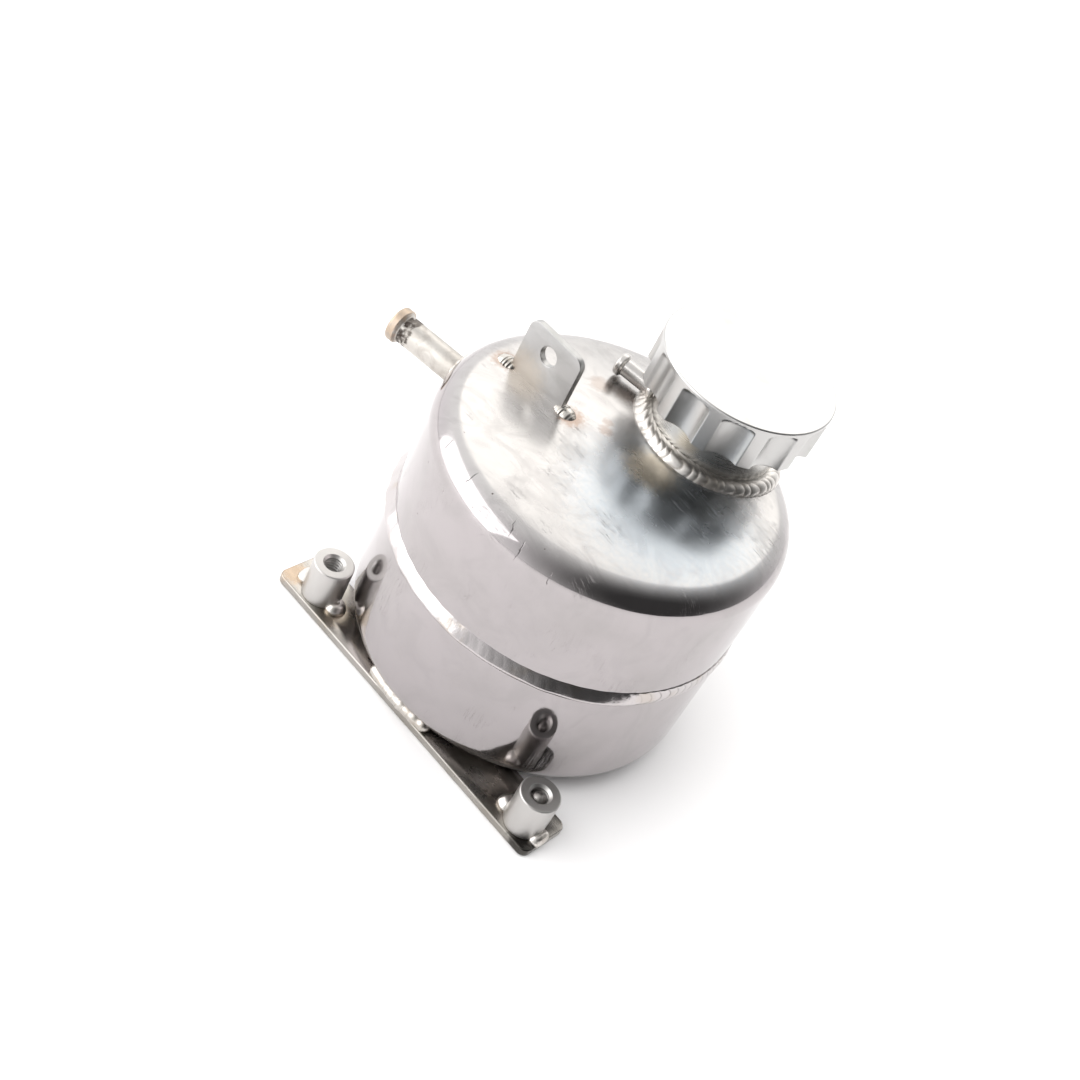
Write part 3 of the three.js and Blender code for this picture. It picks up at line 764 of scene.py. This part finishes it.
def tack_mesh(node, seed, dimple):
    """Blob of weld that set in rings, with a small crater where the arc was lifted away."""
    low, high = box_mm(node)
    side = 1 if "right" in node else -1
    outer = node.endswith("outer")
    post = middle("standoff_right" if side == 1 else "standoff_left")
    direction = side if outer else -side
    reach = (high[0] - low[0]) * (0.98 if outer else 1)
    x = post[0] + direction * (STANDOFF_R + 0.25)
    y = post[1]
    wide, tall = (high[1] - low[1]) / 2, high[2] - PLATE_HIGH[2]
    columns, rows = 72, 44
    around = angles(columns)[None, :]
    fall = np.linspace(0, 1, rows)[:, None] * math.radians(118)
    lumps = 0.06 * wobble(around / TURN, seed, 2, 5) * np.sin(fall)
    rings = np.cos(fall * 9 + 0.9 * np.sin(around + seed))
    crater = dimple * np.exp(-(fall / 0.22) ** 2)
    size = 1 + lumps + 0.012 * rings - crater
    px = x + reach * size * np.sin(fall) * np.cos(around)
    py = y + wide * size * np.sin(fall) * np.sin(around)
    pz = PLATE_HIGH[2] + 0.1 + tall * size * np.cos(fall) + 0 * around
    points = np.stack([px, py, pz], axis=-1)
    return grid_mesh(node, points, ring=False, attributes={"ripple": 0.72 + 0.28 * rings}, sharp=70)


def set_screw_mesh():
    radius, low, high = (SCREW_HIGH[0] - SCREW_LOW[0]) / 2, SCREW_LOW[2], SCREW_HIGH[2]
    tip = arc(0, high - radius, radius, 0, math.pi / 2, 14)
    tip[-1][0] = 0
    outline = [np.array([0, low]), np.array([radius - 0.3, low]), np.array([radius, low + 0.3])]
    outline += subdivided([np.array([radius, low + 0.3]), tip[0]], 0.8)[1:] + tip[1:]
    return lathe("set_screw", outline, (*middle("set_screw_right")[:2], 0), 64)


# ---- material helpers

class Finish:
    """A node material under construction. Each method adds one step and returns its output."""

    def __init__(self, name, metallic=1.0):
        self.material = bpy.data.materials.new(name)
        self.material.use_nodes = True
        self.tree = self.material.node_tree
        self.shader = self.tree.nodes["Principled BSDF"]
        self.shader.inputs["Metallic"].default_value = metallic

    def node(self, kind, operation=None, **inputs):
        made = self.tree.nodes.new(f"ShaderNode{kind}")
        if operation:
            made.operation = operation
        for key, value in inputs.items():
            self.feed(made.inputs[key.replace("_", " ")], value)
        return made

    def feed(self, socket, value):
        if isinstance(value, bpy.types.NodeSocket):
            self.tree.links.new(value, socket)
        else:
            socket.default_value = value

    def place(self, kind="Object", scale=(1, 1, 1), turn=(0, 0, 0)):
        """Coordinates in metres: Object for the part's own frame, UV for round and along."""
        source = self.node("TexCoord").outputs[kind]
        return self.node("Mapping", Vector=source, Scale=scale, Rotation=turn).outputs["Vector"]

    def noise(self, where, scale, detail=3.0, rough=0.5, distortion=0.0):
        made = self.node("TexNoise", Vector=where, Scale=scale, Detail=detail, Roughness=rough,
                         Distortion=distortion)
        return made.outputs["Fac"]

    def attribute(self, name):
        made = self.node("Attribute")
        made.attribute_name = name
        return made.outputs["Fac"]

    def maths(self, operation, a, b=0.0, c=0.0):
        made = self.node("Math", operation)
        for socket, value in zip(made.inputs, (a, b, c)):
            self.feed(socket, value)
        return made.outputs[0]

    def total(self, base, *parts):
        """The base with each mask times its amount added."""
        for mask, amount in parts:
            base = self.maths("MULTIPLY_ADD", mask, amount, base)
        return base

    def span(self, value, low, high, to_low=0.0, to_high=1.0):
        """Value between low and high, smoothly stretched to a new span and held outside it."""
        made = self.node("MapRange")
        made.interpolation_type = "SMOOTHSTEP"
        for key, amount in (("Value", value), ("From Min", low), ("From Max", high), ("To Min", to_low),
                            ("To Max", to_high)):
            self.feed(made.inputs[key], amount)
        return made.outputs["Result"]

    def tinted(self, colour, mask, tint, strength=1.0):
        """The colour where the mask is 0, moved towards the tint where it is 1."""
        made = self.node("Mix")
        made.data_type = "RGBA"
        if strength != 1.0:
            mask = self.maths("MULTIPLY", mask, strength)
        for key, value in (("Factor_Float", mask), ("A_Color", colour), ("B_Color", tint)):
            socket = next(s for s in made.inputs if s.identifier == key)
            self.feed(socket, (*value, 1.0) if isinstance(value, tuple) else value)
        return next(s for s in made.outputs if s.identifier == "Result_Color")

    def near(self, point, radius, ragged):
        """1 at a point of the part, falling to 0 at a radius that is ragged by some millimetres."""
        where = self.place()
        offset = self.node("VectorMath", "DISTANCE")
        self.feed(offset.inputs[0], where)
        offset.inputs[1].default_value = [c * MM for c in point]
        unevenness = self.noise(where, 900.0, 3.0)
        push = self.maths("MULTIPLY_ADD", unevenness, ragged * MM, -0.5 * ragged * MM)
        distance = self.maths("ADD", offset.outputs["Value"], push)
        return self.span(distance, radius * 0.35 * MM, radius * MM, 1.0, 0.0)

    def stroke(self, point, length, width, turn):
        """1 along a short wavering mark through a point, in millimetres, and 0 beside it."""
        where = self.place()
        waver = 1.2 * MM
        made = self.node("TexNoise", Vector=where, Scale=700.0, Detail=2.0)
        push = self.node("VectorMath", "MULTIPLY_ADD")
        self.feed(push.inputs[0], made.outputs["Color"])
        push.inputs[1].default_value = (waver,) * 3
        self.feed(push.inputs[2], where)
        mapping = self.node("Mapping", Vector=push.outputs[0], Location=[c * MM for c in point],
                            Rotation=(0, 0, turn), Scale=(length * MM, width * MM, length * MM))
        mapping.vector_type = "TEXTURE"
        size = self.node("VectorMath", "LENGTH")
        self.feed(size.inputs[0], mapping.outputs["Vector"])
        return self.span(size.outputs["Value"], 0.45, 1.0, 1.0, 0.0)

    def specks(self, scale, sizes, patch_scale, patch_detail, patch_edge, squash=1.0):
        """Small round marks that only show in patches."""
        cell = self.node("TexVoronoi", Vector=self.place(scale=(1, 1, squash)), Scale=scale)
        marks = self.span(cell.outputs["Distance"], *sizes, 1.0, 0.0)
        patch = self.noise(self.place(), patch_scale, patch_detail)
        return self.maths("MULTIPLY", marks, self.span(patch, *patch_edge))

    def hairlines(self, turn, length, width, density):
        """Thin straight scratches in one direction: 1 on a scratch, 0 beside it."""
        where = self.place(scale=(1 / length, 1 / width, 1 / length), turn=(0, 0, turn))
        strand = self.maths("ABSOLUTE", self.maths("SUBTRACT", self.noise(where, 1000.0, 1.0), 0.5))
        line = self.span(strand, 0.0, 0.006, 1.0, 0.0)
        patch = self.span(self.noise(self.place(), 45.0, 4.0, 0.7), density, density + 0.14)
        return self.maths("MULTIPLY", line, patch)

    def bump(self, height, distance, normal=None):
        """Surface normal from a height of 0 to 1 that stands for a depth in millimetres."""
        made = self.node("Bump", Height=height, Distance=distance * MM, Strength=1.0)
        if normal:
            self.feed(made.inputs["Normal"], normal)
        return made.outputs["Normal"]

    def done(self, colour, roughness, normal):
        for key, value in (("Base Color", colour), ("Roughness", roughness), ("Normal", normal)):
            self.feed(self.shader.inputs[key], value)
        return self.material


# ---- materials

CLEAN = (0.435, 0.405, 0.41)
HAZED = (0.405, 0.38, 0.38)
# Lighter colour of the crown than of the wall: painted light.
CROWN = (0.49, 0.475, 0.465)
SMEARED = (0.35, 0.335, 0.33)
COOL_REFLECTION = (0.39, 0.43, 0.47)              # bluish painted reflection on the crown in front of the neck
CREAM_REFLECTION = (0.68, 0.60, 0.48)
# Warm cream of a painted reflection on the crown.
HEAT_BROWN = (0.26, 0.15, 0.09)
PIT_DARK = (0.12, 0.10, 0.09)
NICK_DARK = (0.11, 0.10, 0.10)
SCRATCH_DARK = (0.20, 0.185, 0.18)
# Middles of the painted bluish and cream reflections on the crown.
COOL_REFLECTION_ZONE = (NECK_X + 14, NECK_Y - 34, SHOULDER_Z + 8)
CREAM_REFLECTION_ZONE = (NECK_X + 2.5, NECK_Y - 28, SHOULDER_Z + 8.5)

# Nicks in the tank's shoulder: direction in degrees, height, length, width and turn.
NICKS = ((-77, 76.0, 3.0, 0.20, 0.1), (-83, 78.2, 2.6, 0.18, 0.5), (-104, 78.4, 2.2, 0.16, 0.2),
         (-119, 77.6, 1.9, 0.15, 0.7), (-66, 74.5, 2.2, 0.16, 0.3))

# Hand scratches on the tank: turn, length, width, and how bare of them the metal is.
SCRATCHES = ((0.6, 16.0, 0.45, 0.50), (-1.1, 22.0, 0.6, 0.52), (1.45, 12.0, 0.5, 0.54))

# Heat marks round the neck: offset from its axis, radius and strength.
NECK_MARKS = ((-27, -17, 4.5, 0.30), (-21, -13, 4.5, 0.24), (-13, -30, 2.8, 0.38), (-15, -27, 2.2, 0.32))


def heat_marks():
    """Point, radius and strength of each burnt spot on the crown."""
    tab_y = middle("top_tab")[1]
    marks = [(x, tab_y, 5.5, 0.6) for x in (TAB_LOW[0] - 2, TAB_HIGH[0] + 3)]
    marks += [(NECK_X + dx, NECK_Y + dy, radius, strength) for dx, dy, radius, strength in NECK_MARKS]
    return [((x, y, crown_z(x, y)), radius, strength) for x, y, radius, strength in marks]


def polished_aluminium():
    """Hand-polished metal: sharp but slightly wavy reflections, haze, scratches, nicks and pits. The
    crown is duller than the wall, and its colour is set lighter as painted light. A bluish and a cream
    patch on the crown in front of the neck are painted reflections."""
    f = Finish("tank_metal")
    haze = f.span(f.noise(f.place(), 42.0, 4.0, 0.6, 0.4), 0.42, 0.7)
    height = f.node("SeparateXYZ", Vector=f.place()).outputs["Z"]
    crown = f.span(height, (SHOULDER_Z + 4.8) * MM, (SHOULDER_Z + 7.9) * MM)
    smear = f.span(f.noise(f.place(scale=(1, 1.6, 1)), 70.0, 5.0, 0.6, 1.4), 0.42, 0.68)
    # The crown gets a lighter colour than the wall: painted light.
    colour = f.tinted(f.tinted(CLEAN, haze, HAZED), crown, CROWN)
    colour = f.tinted(colour, f.maths("MULTIPLY", smear, f.total(0.30, (crown, 0.15))), SMEARED)
    # Bluish tint on the crown in front of the neck: painted reflection.
    cool_reflection = f.maths("MULTIPLY", f.near(COOL_REFLECTION_ZONE, 34, ragged=14), crown)
    colour = f.tinted(colour, cool_reflection, COOL_REFLECTION, 0.85)
    # Warm cream patch on the crown in front of the neck: painted reflection.
    colour = f.tinted(colour, f.near(CREAM_REFLECTION_ZONE, 10, ragged=6), CREAM_REFLECTION, 0.8)
    pits = f.specks(210.0, (0.045, 0.075), 75.0, 2.0, (0.60, 0.66))
    colour = f.tinted(colour, pits, PIT_DARK)
    for point, radius, strength in heat_marks():
        colour = f.tinted(colour, f.near(point, radius, ragged=radius * 0.8), HEAT_BROWN, strength)
    nicks = 0.0
    for degrees, z, length, width, turn in NICKS:
        reach = SHOULDER_CENTRE + math.sqrt(SHOULDER_R ** 2 - max(z - SHOULDER_Z, 0) ** 2)
        angle = math.radians(degrees)
        point = (TANK_X + reach * math.cos(angle), TANK_Y + reach * math.sin(angle), z)
        nicks = f.maths("MAXIMUM", nicks, f.stroke(point, length, width, angle + turn))
    colour = f.tinted(colour, nicks, NICK_DARK, 0.75)
    scratch = 0.0
    for settings in SCRATCHES:
        scratch = f.maths("MAXIMUM", scratch, f.hairlines(*settings))
    colour = f.tinted(colour, scratch, SCRATCH_DARK, 0.3)
    roughness = f.total(0.065, (haze, 0.05), (smear, 0.03), (crown, 0.17), (scratch, 0.22), (pits, 0.4))
    normal = f.bump(f.noise(f.place(), 55.0, 2.0, 0.45), 0.24)
    normal = f.bump(f.noise(f.place(), 190.0, 2.0, 0.5), 0.018, normal)
    normal = f.bump(f.noise(f.place("UV", (60.0, 2600.0, 1.0)), 1.0, 2.0), 0.0022, normal)
    normal = f.bump(f.maths("MAXIMUM", scratch, pits), -0.02, normal)
    return f.done(colour, roughness, f.bump(nicks, -0.12, normal))


def machined_aluminium(name, clean, rough, groove):
    """Turned metal: fine rings round the axis, a satin sheen and a few small knocks."""
    f = Finish(name)
    rings = f.noise(f.place("UV", (18.0, 5200.0, 1.0)), 1.0, 3.0, 0.6)
    dull = f.span(f.noise(f.place(), 90.0, 4.0, 0.6), 0.45, 0.75)
    colour = f.tinted(clean, dull, tuple(c * 0.9 for c in clean))
    knocks = f.specks(160.0, (0.02, 0.06), 130.0, 1.0, (0.63, 0.68), squash=0.6)
    roughness = f.total(rough - 0.05, (rings, 0.10), (dull, 0.07))
    return f.done(colour, roughness, f.bump(knocks, -0.06, f.bump(rings, groove)))


def burnt_pipe_aluminium():
    """Turned pipe that was used: a scorched ring behind the hose bead and a tanned bead."""
    f = Finish("return_pipe_metal")
    along = f.attribute("along_axis")
    ragged = f.noise(f.place(), 420.0, 4.0, 0.6)
    shifted = f.total(along, (ragged, 3.2 * MM))
    bead_start = (RETURN_PIPE["far"] - RETURN_PIPE["bead_length"]) * MM
    tan_from = bead_start + 1.6 * MM
    tan = f.span(shifted, tan_from - 0.5 * MM, tan_from + 0.3 * MM)
    colour = f.tinted((0.56, 0.535, 0.50), tan, (0.50, 0.40, 0.31))
    start = f.span(shifted, tan_from - 4.4 * MM, tan_from - 3.6 * MM)
    stop = f.span(along, bead_start - 1.0 * MM, bead_start - 0.4 * MM, 1.0, 0.0)
    scorch = f.maths("MULTIPLY", f.maths("MULTIPLY", start, stop), f.span(ragged, 0.36, 0.56))
    colour = f.tinted(colour, scorch, (0.06, 0.048, 0.042))
    weld_end = f.span(along, (TANK_R + 3) * MM, (TANK_R + 9) * MM, 0.35, 0.0)
    colour = f.tinted(colour, f.maths("MULTIPLY", weld_end, ragged), (0.22, 0.17, 0.12))
    mottled = f.span(f.noise(f.place(), 260.0, 4.0, 0.6, 0.8), 0.4, 0.68)
    colour = f.tinted(colour, mottled, (0.36, 0.33, 0.30), 0.6)
    rings = f.noise(f.place("UV", (25.0, 4200.0, 1.0)), 1.0, 3.0)
    roughness = f.total(0.36, (rings, 0.10), (scorch, 0.25))
    return f.done(colour, roughness, f.bump(f.total(rings, (ragged, 2.0)), 0.006))


def sheet_aluminium():
    """Mill-finish sheet: grain along the sheet, faint smears and a warm cream tint at the tab's lower left
    end, a painted reflection of the tank's crown.
    """
    f = Finish("sheet_metal")
    grain = f.noise(f.place(scale=(90.0, 90.0, 3800.0), turn=(0, 0.2, 0)), 1.0, 3.0, 0.6)
    smear = f.span(f.noise(f.place(scale=(1, 1, 1.6)), 120.0, 4.0, 0.6, 0.6), 0.4, 0.72)
    colour = f.tinted((0.43, 0.425, 0.42), smear, (0.39, 0.385, 0.378))
    # Warm cream tint at the tab's lower left end: painted reflection of the tank's crown.
    crown_reflection_spot = (TAB_LOW[0] + 4, TAB_LOW[1], crown_z(TAB_LOW[0], TAB_LOW[1]))
    colour = f.tinted(colour, f.near(crown_reflection_spot, 11, ragged=5), (0.56, 0.49, 0.40), 0.5)
    specks = f.specks(420.0, (0.05, 0.11), 150.0, 2.0, (0.57, 0.63))
    colour = f.tinted(colour, specks, (0.14, 0.12, 0.10), 0.7)
    marks = f.maths("MAXIMUM", f.hairlines(0.9, 5.0, 0.3, 0.55), specks)
    roughness = f.total(0.28, (grain, 0.10), (smear, 0.08))
    return f.done(colour, roughness, f.bump(marks, -0.02, f.bump(grain, 0.002)))


def weld_metal(name, clean, valley, shine):
    """Set weld metal: bright crests, dull oxide in the valleys between the scales."""
    f = Finish(name)
    grit = f.noise(f.place(), 1500.0, 4.0, 0.65)
    dirt = f.span(f.total(f.attribute("ripple"), (grit, 0.35)), 0.2, 0.72, 1.0, 0.0)
    tint = f.span(f.noise(f.place(), 160.0, 3.0), 0.52, 0.72)
    colour = f.tinted(f.tinted(clean, dirt, valley), tint, (0.47, 0.39, 0.30), 0.35)
    return f.done(colour, f.total(shine, (dirt, 0.18), (grit, 0.10)), f.bump(grit, 0.03))


def stained_aluminium():
    """Plate that went through welding: grey-brown bloom, heat tint by the tacks, soot by the tank."""
    f = Finish("stained_plate_metal")
    bloom = f.span(f.noise(f.place(), 70.0, 5.0, 0.6, 0.5), 0.35, 0.7)
    colour = f.tinted((0.44, 0.42, 0.395), bloom, (0.35, 0.33, 0.30))
    left, right = middle("standoff_left"), middle("standoff_right")
    for post, dx, dy, radius, strength, tint in ((left, -9, -2.5, 6.0, 0.6, (0.42, 0.29, 0.18)),
                                                 (left, 8, -1, 7.0, 0.5, (0.38, 0.30, 0.20)),
                                                 (right, 5, -5.5, 6.0, 0.85, (0.02, 0.018, 0.016)),
                                                 (right, -8, 0, 8.0, 0.4, (0.25, 0.20, 0.16))):
        mark = f.near((post[0] + dx, post[1] + dy, PLATE_HIGH[2]), radius, ragged=radius * 0.7)
        colour = f.tinted(colour, mark, tint, strength)
    grain = f.noise(f.place(scale=(120.0, 2600.0, 120.0)), 1.0, 3.0, 0.6)
    roughness = f.total(0.15, (bloom, 0.12), (grain, 0.10))
    return f.done(colour, roughness, f.bump(f.hairlines(0.3, 8.0, 0.3, 0.54), -0.02, f.bump(grain, 0.004)))


def blackened_steel():
    f = Finish("set_screw_steel")
    grit = f.noise(f.place(), 1900.0, 4.0, 0.7)
    worn = f.span(f.noise(f.place(), 600.0, 2.0), 0.45, 0.62)
    colour = f.tinted((0.26, 0.245, 0.235), worn, (0.46, 0.44, 0.42))
    return f.done(colour, f.total(0.28, (grit, 0.25)), f.bump(grit, 0.05))


def rubber():
    f = Finish("gasket_rubber", metallic=0.0)
    bloom = f.span(f.noise(f.place(), 240.0, 4.0, 0.6), 0.45, 0.75)
    colour = f.tinted((0.012, 0.012, 0.013), bloom, (0.035, 0.034, 0.033))
    return f.done(colour, f.total(0.62, (bloom, 0.15)), f.bump(f.noise(f.place(), 2600.0, 3.0), 0.02))


# ---- build every piece

BODIES = {"screw_cap": "cap", "cap_gasket": "cap_seal"}      # every other piece rides on the tank
# Depth of the crater in each standoff tack, as a share of the tack's size.
TACK_DIMPLES = {"left_outer": 0.02, "left_inner": 0.16, "right_inner": 0.05, "right_outer": 0.08}


def build_pieces():
    shell = (polished_aluminium(), "polished_aluminium")
    bead = (weld_metal("weld_bead_metal", (0.74, 0.71, 0.675), (0.47, 0.435, 0.40), 0.27), "weld_metal")
    smooth = (weld_metal("smooth_bead_metal", (0.60, 0.57, 0.53), (0.50, 0.465, 0.42), 0.24), "weld_metal")
    seam = (weld_metal("girth_weld_metal", (0.54, 0.51, 0.51), (0.25, 0.235, 0.225), 0.10), "weld_metal")
    machined = "machined_aluminium"
    cap = (machined_aluminium("cap_metal", (0.55, 0.545, 0.535), 0.30, 0.0022), machined)
    neck = (machined_aluminium("neck_metal", (0.54, 0.53, 0.51), 0.27, 0.005), machined)
    pipe = (machined_aluminium("pipe_metal", (0.56, 0.54, 0.52), 0.25, 0.005), machined)
    post = (machined_aluminium("standoff_metal", (0.56, 0.545, 0.53), 0.42, 0.004), machined)
    sheet = (sheet_aluminium(), "sheet_aluminium")

    # Each row has a CAD node, the fine mesh that replaces it, and its metal with a slot name that is not
    # used.
    pieces = [
        ("upper_shell", upper_shell_mesh(), shell),
        ("lower_shell", lower_shell_mesh(), shell),
        ("girth_weld", girth_weld_mesh(), seam),
        ("baffle_plate", baffle_mesh(), sheet),
        ("filler_neck", neck_mesh(), neck),
        ("neck_weld", neck_weld_mesh(), bead),
        ("screw_cap", cap_mesh(), cap),
        ("cap_gasket", gasket_mesh(), (rubber(), "rubber")),
        ("vent_nipple", pipe_mesh("vent_nipple", VENT), pipe),
        ("vent_weld", pipe_weld_mesh("vent_weld", VENT, neck_wall_distance, bead=1.1, seed=51), bead),
        ("return_pipe", pipe_mesh("return_pipe", RETURN_PIPE), (burnt_pipe_aluminium(), machined)),
        ("return_pipe_weld",
         pipe_weld_mesh("return_pipe_weld", RETURN_PIPE, tank_wall_distance, bead=1.6, seed=53), bead),
        ("outlet_pipe", pipe_mesh("outlet_pipe", OUTLET_PIPE), pipe),
        ("outlet_pipe_weld",
         pipe_weld_mesh("outlet_pipe_weld", OUTLET_PIPE, tank_wall_distance, bead=1.8, seed=55), bead),
        ("top_tab", tab_mesh(), sheet),
        ("tab_weld_left", tab_weld_mesh("tab_weld_left", TAB_LOW[0], -1, 61), smooth),
        ("tab_weld_right", tab_weld_mesh("tab_weld_right", TAB_HIGH[0], 1, 63), smooth),
        ("foot_plate", foot_plate_mesh(), (stained_aluminium(), "stained_aluminium")),
        ("foot_weld", foot_weld_mesh(), smooth),
        ("standoff_left", standoff_mesh("standoff_left"), post),
        ("standoff_right", standoff_mesh("standoff_right"), post),
    ]
    for number, (side, dimple) in enumerate(TACK_DIMPLES.items()):
        node = f"standoff_tack_{side}"
        pieces.append((node, tack_mesh(node, 71 + number, dimple), bead))
    pieces.append(("set_screw_right", set_screw_mesh(), (blackened_steel(), "blackened_steel")))
    for node, mesh, (material, slot) in pieces:
        add_piece(node, mesh, material, BODIES.get(node, "tank"))


# ---- stage, light and camera

def view_axes():
    """Right, up and back directions of the camera before it is rolled."""
    azimuth, elevation = math.radians(CAMERA["azimuth"]), math.radians(CAMERA["elevation"])
    back = Vector((math.sin(azimuth) * math.cos(elevation), -math.cos(azimuth) * math.cos(elevation),
                   math.sin(elevation)))
    right = Vector((math.cos(azimuth), math.sin(azimuth), 0))
    return right, back.cross(right), back


def heading(from_camera, elevation):
    """Direction seen from the tank: degrees to the right of the camera, and degrees up."""
    turn = math.radians(CAMERA["azimuth"] - 90 + from_camera)
    rise = math.radians(elevation)
    return Vector((math.cos(turn) * math.cos(rise), math.sin(turn) * math.cos(rise), math.sin(rise)))


def build_camera():
    right, up, back = view_axes()
    roll = math.radians(CAMERA["roll"])
    across = right * math.cos(roll) + up * math.sin(roll)
    upright = up * math.cos(roll) - right * math.sin(roll)
    eye = AIM + back * CAMERA["distance"]
    eye += across * CAMERA["slide_right"] * MM + upright * CAMERA["slide_up"] * MM
    lens = bpy.data.cameras.new("photo_camera")
    lens.sensor_width = 36
    lens.lens = CAMERA["lens"]
    lens.clip_start = 0.01
    camera = in_scene("photo_camera", lens)
    camera.matrix_world = Matrix.Translation(eye) @ Matrix((across, upright, back)).transposed().to_4x4()
    bpy.context.scene.camera = camera


def build_floor():
    half = 1.6
    corners = [(-half, -half, 0), (half, -half, 0), (half, half, 0), (-half, half, 0)]
    mesh = bpy.data.meshes.new("floor")
    mesh.from_pydata(corners, [], [(0, 1, 2, 3)])
    floor = in_scene("floor", mesh)
    paper = bpy.data.materials.new("studio_paper")
    paper.use_nodes = True
    shader = paper.node_tree.nodes["Principled BSDF"]
    shader.inputs["Base Color"].default_value = (0.86, 0.85, 0.85, 1)
    shader.inputs["Roughness"].default_value = 0.9
    shader.inputs["Specular IOR Level"].default_value = 0.0
    mesh.materials.append(paper)


def build_softbox(name, direction, distance, width, height, radiance, mirrored=True, tint=(1, 1, 1)):
    """Rectangular lamp that faces the tank. Its energy follows from its size and brightness. A lamp
    that isn't mirrored lights the floor but leaves no reflection in the metal."""
    lamp = bpy.data.lights.new(name, "AREA")
    lamp.shape = "RECTANGLE"
    lamp.size = width
    lamp.size_y = height
    lamp.color = tint
    lamp.energy = radiance * math.pi * width * height
    holder = in_scene(name, lamp)
    facing = direction.to_track_quat("Z", "Y").to_matrix().to_4x4()
    holder.matrix_world = Matrix.Translation(AIM + direction * distance) @ facing
    holder.visible_camera = False
    holder.visible_glossy = mirrored


def build_room():
    """Pale room with one dark side to the right of the camera, as smooth soft light. The camera
    itself sees plain white."""
    world = bpy.data.worlds.new("studio")
    bpy.context.scene.world = world
    world.use_nodes = True
    tree = world.node_tree

    def made(kind, **settings):
        node = tree.nodes.new(f"ShaderNode{kind}")
        for key, value in settings.items():
            setattr(node, key, value)
        return node

    towards = made("VectorMath", operation="DOT_PRODUCT")
    towards.inputs[1].default_value = heading(58, 24)
    tree.links.new(made("TexCoord").outputs["Generated"], towards.inputs[0])
    halved = made("Math", operation="MULTIPLY_ADD")
    halved.inputs[1].default_value = 0.5
    halved.inputs[2].default_value = 0.5
    tree.links.new(towards.outputs["Value"], halved.inputs[0])
    ramp = made("ValToRGB")
    tree.links.new(halved.outputs[0], ramp.inputs["Fac"])
    brightest = 1.6
    # Brightness at each number of degrees from the middle of the dark side.
    shades = ((180, 1.50), (95, 1.42), (78, 1.12), (65, 0.72), (55, 0.46), (45, 0.27), (35, 0.14), (22, 0.07))
    elements = ramp.color_ramp.elements
    while len(elements) < len(shades):
        elements.new(0.5)
    for element, (degrees, shade) in zip(elements, shades):
        element.position = 0.5 + 0.5 * math.cos(math.radians(degrees))
        element.color = (*[shade / brightest] * 3, 1)
    room = tree.nodes["Background"]
    room.inputs["Strength"].default_value = brightest
    tree.links.new(ramp.outputs["Color"], room.inputs["Color"])
    backdrop = made("Background")
    backdrop.inputs["Color"].default_value = (1, 1, 1, 1)
    chosen = made("MixShader")
    tree.links.new(made("LightPath").outputs["Is Camera Ray"], chosen.inputs["Fac"])
    tree.links.new(room.outputs[0], chosen.inputs[1])
    tree.links.new(backdrop.outputs[0], chosen.inputs[2])
    tree.links.new(chosen.outputs[0], tree.nodes["World Output"].inputs["Surface"])


def build_stage():
    bpy.context.scene.view_settings.view_transform = "Standard"
    build_floor()
    build_room()
    build_softbox("window_softbox", heading(-70, 24), distance=0.62, width=0.76, height=0.60, radiance=1.7)
    build_softbox("back_softbox", heading(180, 43), distance=0.9, width=0.80, height=0.42, radiance=1.05,
                  tint=(1, 0.96, 0.89))
    build_softbox("floor_fill", heading(0, 89), distance=2.0, width=3.0, height=3.0, radiance=1.6,
                  mirrored=False)
    build_camera()


build_pieces()
build_stage()
